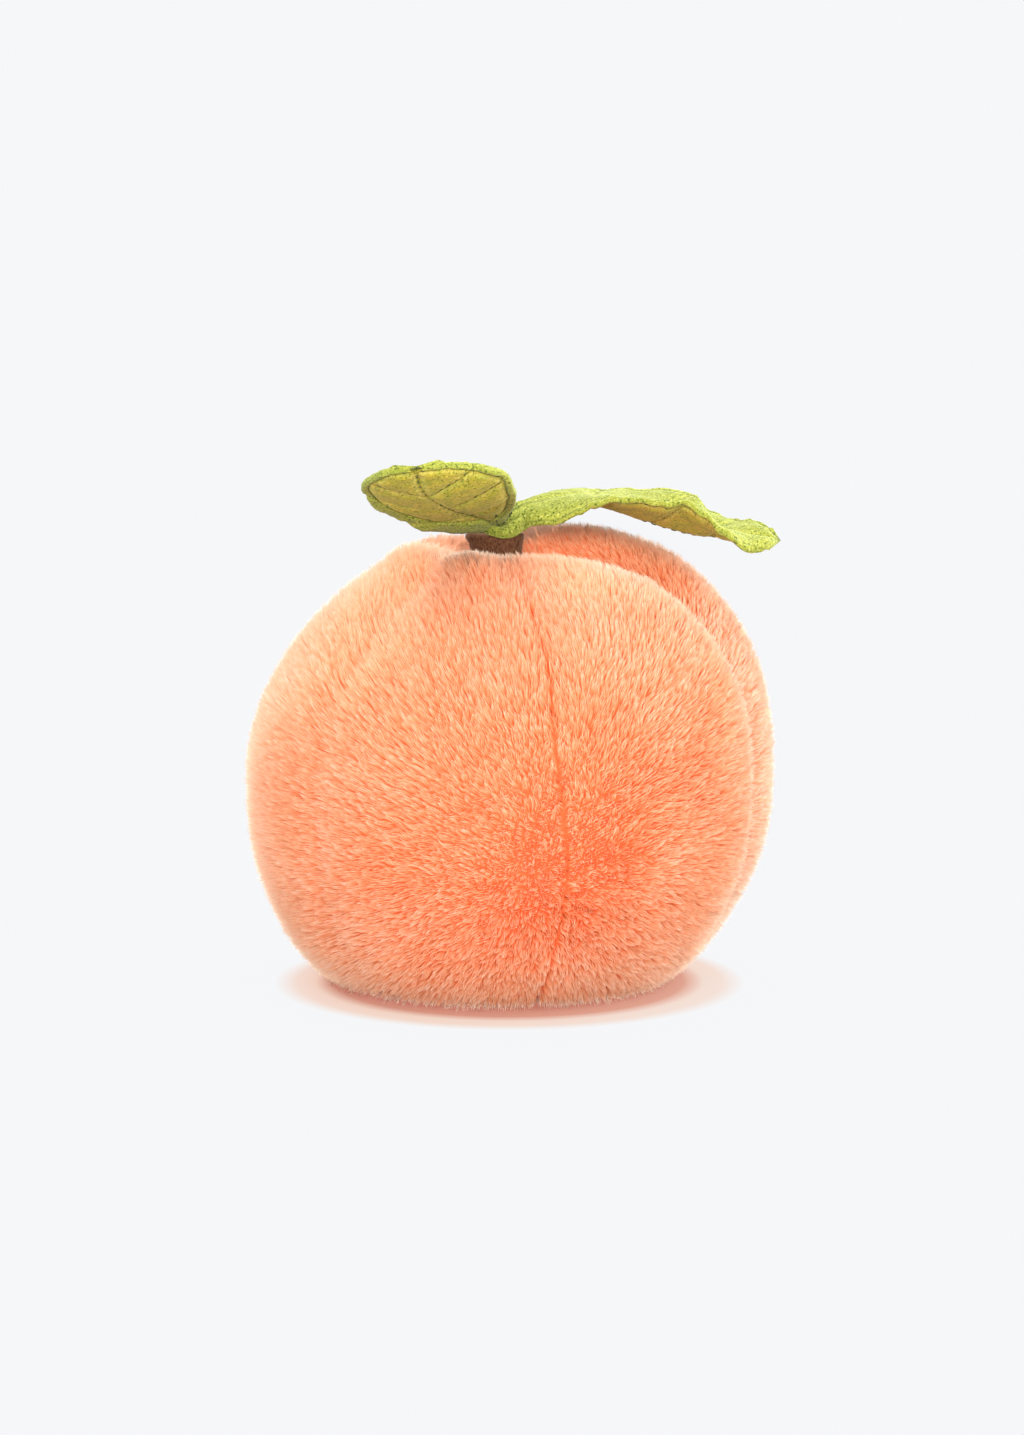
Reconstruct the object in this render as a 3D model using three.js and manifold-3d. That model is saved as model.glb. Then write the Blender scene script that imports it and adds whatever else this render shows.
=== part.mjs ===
// A plush peach: six pile-fabric gores sewn round a stuffed core, a weighted pouch in the
// base, a short stalk, and two quilted fabric leaves tacked to the top of the stalk.
// Millimetres, +Z up. The toy sits on its flattened base at z = 0, its front is towards -Y,
// and azimuths are measured from the front (-Y) towards +X.
import * as THREE from 'three';
import { mergeVertices } from 'three/addons/utils/BufferGeometryUtils.js';
import Module from 'manifold-3d';

const wasm = await Module();
wasm.setup();

const { degToRad, clamp, lerp } = THREE.MathUtils;
const smooth = (x) => THREE.MathUtils.smoothstep(x, 0, 1);

// ---- Driving dimensions of the body -------------------------------------------------------
const waistRadius = 72.3; // over the pile
const waistHeight = 57;
const crownRise = 69.3; // waist to crown, before the dimple
const baseDrop = 64; // waist to the lowest point if nothing flattened it
const crownPower = 2.02; // superellipse powers above and below the waist
const basePower = 2.4;
const footSpread = { reach: 6, height: 26, fade: 30 }; // the weighted base bulges over the floor
const rearLobe = { azimuth: degToRad(125), spread: degToRad(45), rise: 5.2, swell: 0.035 };
const frontLobe = { azimuth: degToRad(30), spread: degToRad(40), rise: -1.0 };
const dimple = { depth: 8.5, radius: 17 };

// The seams between the gores. The one called cleft is pulled in deep, as on the fruit.
const seamAzimuths = [-46, 10, 74, 134, 194, 254].map(degToRad);
const cleft = { index: 2, depth: 5.5, crownDepth: 3.5, width: 8, crownWidth: 3 };
const leftSeam = { index: 0, crownDepth: 2.2, crownWidth: 6 };
const plainSeam = { depth: 0.7, baseFade: 0.4, width: 5, crownDepth: 0.8, crownWidth: 3 };
const frontSeam = { index: 1, baseLean: 0.055, waistLean: 0.1, crownLean: 0.15, spread: 0.5 }; // sewn askew
const seamFadeRadius = 24; // the seams' pull fades out towards the stalk

const panelThickness = 4.5; // backing cloth and pile together
const seamGap = 0.5;
const neckRadius = 7.9; // where the gores end round the stalk
const soleRadius = 4; // where the gores end under the toy
const clearance = 0.4; // between the pieces inside
const coreClearance = 1; // between the core and the gores

// ---- Driving dimensions of the stalk and the pouch ------------------------------------------
const stalk = { x: -4, radius: 7.4, top: 121.8, hem: 113.5, cloth: 0.9 };
const pouch = { radius: 31, flatRadius: 27, floor: 5.1, rim: 12, crown: 22, cloth: 0.6 };

// ---- Driving dimensions of the leaves -------------------------------------------------------
const leafHalfWidth = 21;
const leafNeckHalfWidth = 2.4;
const leafBluntness = 0.68; // below 1 rounds the tip
const leafFullness = 1.3; // above 1 moves the widest place towards the tip
const leafTipShare = 0.985; // the outline closes here, just before its mathematical tip
const wadding = { half: 0.9, rim: 0.94 };
const leafCloth = 0.6;
const layerGap = 0.3;
const thread = { width: 0.7, thickness: 0.5, gap: 0.75 };
const hemShare = 0.86; // the border stitching's place across the half width
const veinShares = [[0.33, 0.4], [0.55, 0.66], [0.76, 0.86]]; // each vein's start and end

// Each leaf's midrib, and how its two halves lift and curl along it. A key is: share of the
// length, lift and curl of the + half, lift and curl of the - half in degrees, and the - half's
// share of the full width.
const leftLeaf = {
  midrib: [
    [-3.2, -4, 124], [-6.4, -13, 126.6], [-10.5, -23, 129], [-16.6, -37, 131.9],
    [-21.5, -50, 135.9], [-23.6, -58, 139.8], [-24.2, -65, 144.5],
  ],
  keys: [
    [0, -25, 0, 50, 0, 1], [0.15, -22, 0, 30, 0, 0.9], [0.3, -18, 8, 18, 8, 0.86],
    [0.5, -8, 15, 12, 12, 0.9], [0.7, -2, 18, 16, 12, 1], [0.85, 0, 15, 20, 10, 1], [1, 4, 0, 18, 0, 1],
  ],
};
const rightLeaf = {
  midrib: [
    [1.3, -1, 123.8], [3.8, -1, 127.4], [7.6, 0, 129.6], [17.6, 2, 131.2], [26.5, 3, 129],
    [37.4, 4, 125], [48.2, 3, 122], [56.8, 2, 121.2], [73.8, 0, 119.6],
  ],
  keys: [
    [0, -35, 0, 20, 0, 1], [0.08, -40, 0, 10, 0, 1], [0.16, -28, 0, 3, 0, 1], [0.26, -12, -5, 1, 0, 1],
    [0.32, 0, -5, 3, 0, 1], [0.38, 10, -3, 7, 0, 1], [0.48, 15, 0, 15, 0, 1], [0.58, 20, 0, 22, 0, 1],
    [0.66, 27, 0, 23, 0, 1], [0.74, 21, 0, 12, 0, 1], [0.8, 8, 0, 9, 0, 1], [0.9, -12, 0, 16, 0, 1],
    [1, -12, 0, 16, 0, 1],
  ],
};

// ---- Facets -----------------------------------------------------------------------------------
const panelColumns = 9;
const crownRows = 13;
const coreShares = [0, 0.04, 0.15, 0.5, 0.85, 0.96]; // the core's columns across each gore
const leafRows = 18;
const leafColumns = 8;
const hemSteps = 36;
const midribSteps = 14;
const veinSteps = 3;
const turnedSides = 24;

const material = {
  pile: new THREE.MeshStandardMaterial({ color: 0xf9ae7c, roughness: 0.95 }),
  filling: new THREE.MeshStandardMaterial({ color: 0xf3f1ec, roughness: 1 }),
  pouchCloth: new THREE.MeshStandardMaterial({ color: 0xe9e4d8, roughness: 0.9 }),
  beans: new THREE.MeshStandardMaterial({ color: 0xdcdcd8, roughness: 0.5 }),
  stalkCloth: new THREE.MeshStandardMaterial({ color: 0x6e4629, roughness: 0.95 }),
  leafCloth: new THREE.MeshStandardMaterial({ color: 0xb4bc4a, roughness: 0.9 }),
  undersideCloth: new THREE.MeshStandardMaterial({ color: 0xb79f46, roughness: 0.9 }),
  thread: new THREE.MeshStandardMaterial({ color: 0x2f5a25, roughness: 0.7 }),
};

// ---- Helpers: closed bodies from points ---------------------------------------------------------
/** A geometry of triangles, turned so that its faces point out. */
function closedBody(points, faces) {
  const volume = faces.reduce((sum, [a, b, c]) => {
    const normal = new THREE.Vector3().crossVectors(points[b], points[c]);
    return sum + points[a].dot(normal);
  }, 0);
  const turned = volume < 0 ? faces.map(([a, b, c]) => [a, c, b]) : faces;
  const geometry = new THREE.BufferGeometry();
  const flat = turned.flat().flatMap((i) => points[i].toArray());
  geometry.setAttribute('position', new THREE.Float32BufferAttribute(flat, 3));
  return mergeVertices(geometry, 1e-4);
}

/** A curved slab: two grids of points, one for each face, joined round their rims. */
function slab(rows, columns, facePoint) {
  const points = [];
  for (const side of [0, 1]) {
    for (let i = 0; i < rows; i += 1) {
      for (let j = 0; j < columns; j += 1) points.push(facePoint(side, i, j));
    }
  }
  const at = (side, i, j) => (side * rows + i) * columns + j;
  const faces = [];
  const quad = (a, b, c, d) => faces.push([a, b, c], [a, c, d]);
  for (let i = 0; i < rows - 1; i += 1) {
    for (let j = 0; j < columns - 1; j += 1) {
      quad(at(0, i, j), at(0, i, j + 1), at(0, i + 1, j + 1), at(0, i + 1, j));
      quad(at(1, i, j), at(1, i + 1, j), at(1, i + 1, j + 1), at(1, i, j + 1));
    }
  }
  for (let j = 0; j < columns - 1; j += 1) {
    quad(at(0, 0, j), at(1, 0, j), at(1, 0, j + 1), at(0, 0, j + 1));
    quad(at(0, rows - 1, j + 1), at(1, rows - 1, j + 1), at(1, rows - 1, j), at(0, rows - 1, j));
  }
  for (let i = 0; i < rows - 1; i += 1) {
    quad(at(0, i + 1, 0), at(1, i + 1, 0), at(1, i, 0), at(0, i, 0));
    quad(at(0, i, columns - 1), at(1, i, columns - 1), at(1, i + 1, columns - 1), at(0, i + 1, columns - 1));
  }
  return closedBody(points, faces);
}

/** A flat ribbon laid along a path on a surface. A looped one closes on itself. */
function ribbon(path, normals, { width, thickness }, looped) {
  const count = path.length;
  const points = path.flatMap((point, i) => {
    const before = path[looped ? (i + count - 1) % count : Math.max(i - 1, 0)];
    const after = path[looped ? (i + 1) % count : Math.min(i + 1, count - 1)];
    const ahead = new THREE.Vector3().subVectors(after, before).normalize();
    const across = new THREE.Vector3().crossVectors(normals[i], ahead).normalize();
    return [[-1, -1], [1, -1], [1, 1], [-1, 1]].map(([side, height]) => point.clone()
      .addScaledVector(across, (side * width) / 2)
      .addScaledVector(normals[i], (height * thickness) / 2));
  });
  const faces = [];
  for (let i = 0; i < (looped ? count : count - 1); i += 1) {
    const here = i * 4;
    const next = ((i + 1) % count) * 4;
    for (let k = 0; k < 4; k += 1) {
      const l = (k + 1) % 4;
      faces.push([here + k, here + l, next + l], [here + k, next + l, next + k]);
    }
  }
  if (!looped) {
    const last = (count - 1) * 4;
    faces.push([0, 2, 1], [0, 3, 2], [last, last + 1, last + 2], [last, last + 2, last + 3]);
  }
  return closedBody(points, faces);
}

/** A body turned about the vertical, from [radius, height] points that start and end on the axis. */
function turnedBody(profile, x = 0) {
  const outline = profile.map(([radius, height]) => new THREE.Vector2(radius, height));
  const lathe = new THREE.LatheGeometry(outline, turnedSides);
  lathe.rotateX(Math.PI / 2);
  lathe.translate(x, 0, 0);
  lathe.deleteAttribute('normal');
  lathe.deleteAttribute('uv');
  const merged = mergeVertices(lathe, 1e-4);
  const points = [];
  for (let i = 0; i < merged.attributes.position.count; i += 1) {
    points.push(new THREE.Vector3().fromBufferAttribute(merged.attributes.position, i));
  }
  const faces = [];
  for (let i = 0; i < merged.index.count; i += 3) {
    const face = [0, 1, 2].map((k) => merged.index.getX(i + k));
    if (new Set(face).size === 3) faces.push(face);
  }
  return closedBody(points, faces);
}

function toManifold(geometry) {
  return new wasm.Manifold(new wasm.Mesh({
    numProp: 3,
    vertProperties: geometry.attributes.position.array,
    triVerts: Uint32Array.from(geometry.index.array),
  }));
}

function fromManifold(solid) {
  const { vertProperties, triVerts } = solid.getMesh();
  const geometry = new THREE.BufferGeometry();
  geometry.setAttribute('position', new THREE.BufferAttribute(vertProperties, 3));
  geometry.setIndex(new THREE.BufferAttribute(triVerts, 1));
  return geometry;
}

// ---- The body's surface -------------------------------------------------------------------------
const turn = (angle) => angle - 2 * Math.PI * Math.round(angle / (2 * Math.PI));
const nearness = (azimuth, lobe) => Math.exp(-((turn(azimuth - lobe.azimuth) / lobe.spread) ** 2));

/** How far the seams pull the skin in, at a place on the body. */
function seamPull(azimuth, latitude, radius) {
  const crown = smooth((Math.sin(latitude) - 0.2) / 0.6);
  const base = smooth(-Math.sin(latitude) / 0.95);
  const pulls = seamAzimuths.map((seam, index) => {
    let depth = plainSeam.depth + plainSeam.crownDepth * crown - plainSeam.baseFade * base;
    let width = plainSeam.width + plainSeam.crownWidth * crown;
    if (index === cleft.index) {
      depth = (cleft.depth + cleft.crownDepth * crown) * (1 - base);
      width = cleft.width + cleft.crownWidth * crown;
    } else if (index === leftSeam.index) {
      depth = plainSeam.depth + leftSeam.crownDepth * crown - plainSeam.baseFade * base;
      width = plainSeam.width + leftSeam.crownWidth * crown;
    }
    const arc = radius * turn(azimuth - seam);
    return depth * Math.exp(-(Math.abs(arc / width) ** 1.6));
  });
  return pulls.reduce((sum, pull) => sum + pull, 0) * smooth(radius / seamFadeRadius);
}

/** The front seam wanders from its azimuth on the way up, and the gores beside it follow. */
function seamDrift(azimuth, latitude) {
  const s = Math.sin(latitude);
  const lean = frontSeam.baseLean
    - frontSeam.waistLean * smooth((s + 0.3) / 0.9)
    - frontSeam.crownLean * smooth((s - 0.45) / 0.5);
  return lean * Math.exp(-((turn(azimuth - seamAzimuths[frontSeam.index]) / frontSeam.spread) ** 2));
}

/** The gores meet a little left of the body's middle, and the crown leans to the right. */
function ringCentre(latitude) {
  const s = Math.sin(latitude);
  return -3.5 + 3 * smooth(s + 1) + 4.5 * smooth(s / 0.85) - 8 * smooth((s - 0.8) / 0.2);
}

/** How much further out the base bulges at a height. */
function spreadAt(radius, z) {
  const low = clamp(1 - Math.max(z, 0) / footSpread.height, 0, 1);
  return footSpread.reach * low ** 2 * smooth(radius / footSpread.fade);
}

function revolved(azimuth, latitude) {
  const s = Math.sin(latitude);
  const crown = Math.max(s, 0);
  const power = s >= 0 ? crownPower : basePower;
  const lobes = rearLobe.rise * nearness(azimuth, rearLobe) + frontLobe.rise * nearness(azimuth, frontLobe);
  const height = s >= 0 ? crownRise + lobes * crown ** 2 : baseDrop;
  const swell = 1 + rearLobe.swell * nearness(azimuth, rearLobe) * crown;
  const radius = waistRadius * Math.cos(latitude) ** (2 / power) * swell;
  const z = waistHeight + height * Math.sign(s) * Math.abs(s) ** (2 / power);
  return [radius + spreadAt(radius, z), z];
}

/** A point of the outer skin, over the pile. */
function skinPoint(sewn, latitude) {
  const step = 1e-3;
  const azimuth = sewn + seamDrift(sewn, latitude);
  const [radius, height] = revolved(azimuth, latitude);
  const [radiusUp, heightUp] = revolved(azimuth, latitude + step);
  const [radiusDown, heightDown] = revolved(azimuth, latitude - step);
  const along = new THREE.Vector2(radiusUp - radiusDown, heightUp - heightDown).normalize();
  const pull = seamPull(sewn, latitude, radius);
  const r = Math.max(radius - along.y * pull, 0);
  const sunk = latitude > 0 ? dimple.depth * Math.exp(-((r / dimple.radius) ** 2)) : 0;
  const z = height + along.x * pull - sunk;
  return new THREE.Vector3(
    r * Math.sin(azimuth) + ringCentre(latitude),
    -r * Math.cos(azimuth),
    Math.max(z, 0),
  );
}

/** The same point moved in, square to the skin. */
function insetPoint(azimuth, latitude, inset) {
  const step = 0.01;
  const point = skinPoint(azimuth, latitude);
  if (point.z < 1e-6) return new THREE.Vector3(point.x, point.y, inset);
  const east = skinPoint(azimuth + step, latitude).sub(skinPoint(azimuth - step, latitude));
  const north = skinPoint(azimuth, latitude + step).sub(skinPoint(azimuth, latitude - step));
  const outward = east.cross(north).normalize();
  point.addScaledVector(outward, -inset);
  point.z = Math.max(point.z, inset);
  return point;
}

const latitudeOfRadius = (radius, power) => Math.acos((radius / waistRadius) ** (power / 2));
const soleLatitude = -Math.asin((waistHeight / baseDrop) ** (basePower / 2));
const [soleEdge] = revolved(0, soleLatitude);
const neckLatitude = latitudeOfRadius(neckRadius, crownPower);

/** Latitudes from the sole's middle, over its edge and up to the stalk. */
function meridianLatitudes(firstRadius, lastLatitude, rows) {
  const flat = [firstRadius, (firstRadius + soleEdge) / 2]
    .map((radius) => -latitudeOfRadius(radius, basePower));
  const curved = Array.from({ length: rows + 1 }, (_, i) => lerp(soleLatitude, lastLatitude, i / rows));
  return [...flat, ...curved];
}

function goreSpan(index) {
  const to = seamAzimuths[(index + 1) % seamAzimuths.length];
  return (to - seamAzimuths[index] + 2 * Math.PI) % (2 * Math.PI);
}

/** Pushes a point near the crown out to the neck, so that the gores' ends leave room for the stalk. */
function clearOfStalk(point) {
  const fromStalk = new THREE.Vector2(point.x - stalk.x, point.y);
  if (point.z > waistHeight && fromStalk.length() < neckRadius) fromStalk.setLength(neckRadius);
  return new THREE.Vector3(stalk.x + fromStalk.x, fromStalk.y, point.z);
}

function furPanel(index) {
  const from = seamAzimuths[index];
  const span = goreSpan(index);
  const latitudes = meridianLatitudes(soleRadius, neckLatitude, crownRows);
  return slab(latitudes.length, panelColumns, (side, i, j) => {
    const latitude = latitudes[i];
    const [radius] = revolved(from, latitude);
    const trim = seamGap / 2 / radius;
    const share = (1 - Math.cos((Math.PI * j) / (panelColumns - 1))) / 2; // closer at the seams
    const azimuth = from + trim + share * (span - 2 * trim);
    return clearOfStalk(insetPoint(azimuth, latitude, side * panelThickness));
  });
}

// ---- Inside -------------------------------------------------------------------------------------
const domeShares = [0, 0.3, 0.55, 0.78, 0.93];

/** A point of the pouch's dome, at a share of its radius, moved down and out. */
function pouchDome(share, down, out) {
  const { radius, rim, crown } = pouch;
  return [(radius + out) * share, rim - down + (crown - rim) * Math.sqrt(1 - share ** 3)];
}

/** The stuffed core, cut away underneath for the pouch. */
function stuffing() {
  const inset = panelThickness + coreClearance;
  const latitudes = meridianLatitudes(10, latitudeOfRadius(16, crownPower), 12);
  const azimuths = seamAzimuths.flatMap((from, index) => coreShares.map((share) => from + share * goreSpan(index)));
  const coreColumns = azimuths.length;
  const points = latitudes.flatMap((latitude) => azimuths.map((azimuth) => insetPoint(azimuth, latitude, inset)));
  const top = points.slice(-coreColumns);
  const topHeight = Math.min(...top.map((point) => point.z));
  points.push(new THREE.Vector3(ringCentre(-Math.PI / 2), 0, inset));
  points.push(new THREE.Vector3(stalk.x, 0, Math.min(topHeight, stalk.hem - clearance)));
  const faces = [];
  const at = (i, j) => i * coreColumns + (j % coreColumns);
  const lastRow = latitudes.length - 1;
  for (let j = 0; j < coreColumns; j += 1) {
    for (let i = 0; i < lastRow; i += 1) {
      faces.push([at(i, j), at(i, j + 1), at(i + 1, j + 1)], [at(i, j), at(i + 1, j + 1), at(i + 1, j)]);
    }
    faces.push([points.length - 2, at(0, j + 1), at(0, j)]);
    faces.push([at(lastRow, j), at(lastRow, j + 1), points.length - 1]);
  }
  const roof = domeShares.map((share) => pouchDome(share, -1, 1)).reverse();
  const recess = turnedBody([[0, 0], [pouch.radius + 1, 0], [pouch.radius + 1, pouch.rim], ...roof]);
  return fromManifold(toManifold(closedBody(points, faces)).subtract(toManifold(recess)));
}

/** The pouch's upper cloth: a dome down to the rim. */
function pouchTop() {
  const { radius, rim, cloth } = pouch;
  const outer = domeShares.map((share) => pouchDome(share, 0, 0));
  const inner = domeShares.map((share) => pouchDome(share, cloth, -cloth)).reverse();
  return turnedBody([...outer, [radius, rim], [radius - cloth, rim], ...inner]);
}

/** The pouch's lower cloth: a shallow dish on the sole. */
function pouchBottom() {
  const { radius, flatRadius, floor, rim, cloth } = pouch;
  const top = rim - layerGap;
  return turnedBody([
    [0, floor], [flatRadius, floor], [radius, top], [radius - cloth, top],
    [flatRadius - cloth / 2, floor + cloth], [0, floor + cloth],
  ]);
}

function beanFill() {
  const { radius, flatRadius, floor, rim, cloth } = pouch;
  const low = floor + cloth + layerGap;
  const drop = cloth + layerGap;
  const roof = domeShares.map((share) => pouchDome(share, drop, -1.6)).reverse();
  return turnedBody([[0, low], [flatRadius - 1.2, low], [radius - 1.6, rim - 0.6], ...roof]);
}

// ---- Stalk --------------------------------------------------------------------------------------
/** A sewn cloth cap, open below, with its hem turned into the neck of the gores. */
function stalkCover() {
  const { radius, top, hem, cloth } = stalk;
  const round = 1.2;
  return turnedBody([
    [0, top], [radius - round, top], [radius - 0.3, top - round], [radius, hem],
    [radius - cloth, hem], [radius - cloth - 0.3, top - round - 0.4],
    [radius - cloth - round, top - cloth], [0, top - cloth],
  ], stalk.x);
}

function stalkStuffing() {
  const { radius, top, hem, cloth } = stalk;
  const inner = radius - cloth - clearance - 0.3;
  const head = top - cloth - clearance;
  return turnedBody([[0, hem], [inner, hem], [inner, head - 2], [inner - 1.5, head], [0, head]], stalk.x);
}

// ---- Leaves -------------------------------------------------------------------------------------
/** Eases between the keyed values. */
function keyed(keys, column, t) {
  const last = keys.length - 2;
  const i = clamp(keys.findIndex((key) => key[0] > t) - 1, 0, last);
  const at = t >= 1 ? last : i;
  const share = smooth((t - keys[at][0]) / (keys[at + 1][0] - keys[at][0]));
  return lerp(keys[at][column], keys[at + 1][column], share);
}

function halfWidthAt(t) {
  const outline = leafHalfWidth * Math.max(Math.sin(Math.PI * t ** leafFullness), 0) ** leafBluntness;
  return Math.max(outline, leafNeckHalfWidth * (1 - t));
}

/** Point and normal of a leaf: t along it, w from -1 to 1 across it, raised off its middle layer. */
function leafPlace(leaf, t, w, raise) {
  const curve = leaf.curve ?? new THREE.CatmullRomCurve3(
    leaf.midrib.map((point) => new THREE.Vector3(...point)), false, 'catmullrom', 0.5,
  );
  leaf.curve = curve;
  const point = curve.getPointAt(clamp(t, 0, 1));
  const ahead = curve.getTangentAt(clamp(t, 0.01, 0.99));
  const side = new THREE.Vector3(0, 0, 1).cross(ahead).negate().normalize();
  const up = new THREE.Vector3().crossVectors(side, ahead);
  const plus = w >= 0;
  const lift = degToRad(keyed(leaf.keys, plus ? 1 : 3, t));
  const curl = degToRad(keyed(leaf.keys, plus ? 2 : 4, t)) / leafHalfWidth || 1e-6;
  const widthShare = plus ? 1 : keyed(leaf.keys, 5, t);
  const distance = Math.abs(w) * halfWidthAt(t) * widthShare;
  const angle = lift + curl * distance;
  const out = (Math.sin(angle) - Math.sin(lift)) / curl;
  const rise = (Math.cos(lift) - Math.cos(angle)) / curl;
  const sign = plus ? 1 : -1;
  const normal = up.clone().multiplyScalar(Math.cos(angle)).addScaledVector(side, -sign * Math.sin(angle));
  point.addScaledVector(side, sign * out).addScaledVector(up, rise).addScaledVector(normal, raise);
  return { point, normal };
}

/** The wadding thins towards the leaf's rim, its neck and its tip. */
function waddingHalf(t, w) {
  const across = Math.sqrt(Math.max(1 - Math.abs(w) ** 3, 0));
  return 0.15 + wadding.half * across * smooth(t / 0.12) * smooth((1 - t) / 0.1);
}

function leafLayer(leaf, from, to, rim = 1) {
  return slab(leafRows + 1, leafColumns + 1, (side, i, j) => {
    const t = leafTipShare * (i / leafRows);
    const w = (2 * j) / leafColumns - 1;
    const [share, extra] = side ? from : to;
    return leafPlace(leaf, t, w * rim, share * waddingHalf(t, w) + extra).point;
  });
}

/** One thread of the quilting: midrib, side veins and border line, joined in one piece. */
function quiltingThread(leaf, side) {
  const raise = layerGap + leafCloth + thread.gap + thread.thickness / 2;
  const lay = (places, looped) => {
    const laid = places.map(([t, w]) => leafPlace(leaf, t, w, side * (waddingHalf(t, w) + raise)));
    const path = laid.map(({ point }) => point);
    const normals = laid.map(({ normal }) => normal);
    return toManifold(ribbon(path, normals, thread, looped));
  };
  const hemStart = 0.07;
  const hemEnd = 0.955;
  const hemHalf = (t) => hemShare * smooth((t - hemStart) / 0.03) * smooth((hemEnd - t) / 0.012);
  const hem = Array.from({ length: hemSteps }, (_, i) => {
    const turnShare = (i / hemSteps) * 2;
    const onPlus = turnShare < 1;
    const progress = onPlus ? turnShare : 2 - turnShare;
    const t = lerp(hemStart, hemEnd, (1 - Math.cos(Math.PI * progress)) / 2);
    return [t, (onPlus ? 1 : -1) * hemHalf(t)];
  });
  const midrib = Array.from({ length: midribSteps + 1 }, (_, i) => [lerp(0.03, hemEnd, i / midribSteps), 0]);
  let threads = lay(hem, true).add(lay(midrib, false));
  for (const [start, end] of veinShares) {
    for (const sign of [-1, 1]) {
      const vein = Array.from({ length: veinSteps + 1 }, (_, i) => {
        const share = i / veinSteps;
        return [lerp(start, end, share ** 1.3), sign * hemShare * share];
      });
      threads = threads.add(lay(vein, false));
    }
  }
  return fromManifold(threads);
}

// ---- The toy ------------------------------------------------------------------------------------
const toy = new THREE.Group();

function addPiece(name, geometry, finish) {
  geometry.computeVertexNormals();
  const mesh = new THREE.Mesh(geometry, finish);
  mesh.name = name;
  toy.add(mesh);
}

seamAzimuths.forEach((_, index) => addPiece(`fur_panel_${index + 1}`, furPanel(index), material.pile));
addPiece('stuffing', stuffing(), material.filling);
addPiece('bean_pouch_top', pouchTop(), material.pouchCloth);
addPiece('bean_pouch_bottom', pouchBottom(), material.pouchCloth);
addPiece('bean_fill', beanFill(), material.beans);
addPiece('stalk_cover', stalkCover(), material.stalkCloth);
addPiece('stalk_stuffing', stalkStuffing(), material.filling);

const skinFrom = layerGap;
const skinTo = layerGap + leafCloth;
for (const [name, leaf] of [['left_leaf', leftLeaf], ['right_leaf', rightLeaf]]) {
  addPiece(`${name}_top`, leafLayer(leaf, [1, skinFrom], [1, skinTo]), material.leafCloth);
  addPiece(`${name}_underside`, leafLayer(leaf, [-1, -skinTo], [-1, -skinFrom]), material.undersideCloth);
  addPiece(`${name}_wadding`, leafLayer(leaf, [-1, 0], [1, 0], wadding.rim), material.filling);
  addPiece(`${name}_needle_thread`, quiltingThread(leaf, 1), material.thread);
  addPiece(`${name}_bobbin_thread`, quiltingThread(leaf, -1), material.thread);
}

// The origin is the middle of the footprint, on the surface that the toy sits on.
const bounds = new THREE.Box3().setFromObject(toy);
const middle = bounds.getCenter(new THREE.Vector3());
toy.position.set(-middle.x, -middle.y, -bounds.min.z);
toy.updateMatrixWorld(true);

export default toy;
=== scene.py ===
# %% [markdown]
# # A plush peach
# This is a soft toy in the shape of a peach: six gores of short-pile plush sewn into a ball, a cleft on
# one side, a stub of brown stalk and two quilted cloth leaves. The engineering model already fixes where
# every piece is and how big it is, so it is loaded first and nothing in it is ever moved. What Blender
# adds is the outside that a hand would feel: the pile, the cloth, the stitches.

# %% The fixed frame
import math

import bpy
import numpy as np
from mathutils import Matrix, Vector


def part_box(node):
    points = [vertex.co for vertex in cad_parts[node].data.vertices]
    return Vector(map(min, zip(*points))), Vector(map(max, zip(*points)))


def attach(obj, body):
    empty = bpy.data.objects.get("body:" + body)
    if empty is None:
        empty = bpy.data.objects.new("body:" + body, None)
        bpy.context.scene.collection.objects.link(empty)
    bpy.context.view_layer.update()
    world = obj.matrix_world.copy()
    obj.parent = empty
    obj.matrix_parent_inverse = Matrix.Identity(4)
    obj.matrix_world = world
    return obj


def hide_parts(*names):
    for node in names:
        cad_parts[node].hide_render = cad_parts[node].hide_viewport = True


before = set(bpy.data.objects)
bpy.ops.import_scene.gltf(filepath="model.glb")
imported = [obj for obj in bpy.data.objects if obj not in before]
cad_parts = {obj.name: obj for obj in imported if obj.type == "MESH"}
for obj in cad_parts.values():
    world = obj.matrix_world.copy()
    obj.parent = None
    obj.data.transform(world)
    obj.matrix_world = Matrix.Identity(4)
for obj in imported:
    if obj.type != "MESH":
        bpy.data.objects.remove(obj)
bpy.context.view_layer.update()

MM = 0.001
stalk_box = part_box("stalk_cover")

# %% [markdown]
# ## Camera
# A long lens a metre away keeps the ball round: a short lens close by would swell its belly. The camera
# stands a little above the toy and looks down on it by a few degrees, so the top of the stalk shows.

# %% Camera
VIEW_DISTANCE = 1.0
VIEW_TILT = math.radians(7.5)
VIEW_HEIGHT = 0.0716
LENS_MM = 92.3
STALK_LEFT_OF_VIEW = 4 * MM
camera_place = (
    (stalk_box[0][0] + stalk_box[1][0]) / 2 + STALK_LEFT_OF_VIEW,
    (stalk_box[0][1] + stalk_box[1][1]) / 2 - VIEW_DISTANCE * math.cos(VIEW_TILT),
    VIEW_HEIGHT + VIEW_DISTANCE * math.sin(VIEW_TILT),
)
bpy.ops.object.camera_add(location=camera_place, rotation=(math.pi / 2 - VIEW_TILT, 0, 0))
camera = bpy.context.object
camera.data.lens = LENS_MM
camera.data.clip_start = 0.05
bpy.context.scene.camera = camera
print("camera at", [round(v, 3) for v in camera_place])

# %% [markdown]
# ## Materials, light and paper
# Every finish here is a small tree of nodes round one Principled shader, so a few helpers come first. One
# starts a material and one joins two sockets. The rest make what most finishes share: a noise laid on the
# piece, a ramp that turns a number into a colour, two colours multiplied, and a bump.

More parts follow.
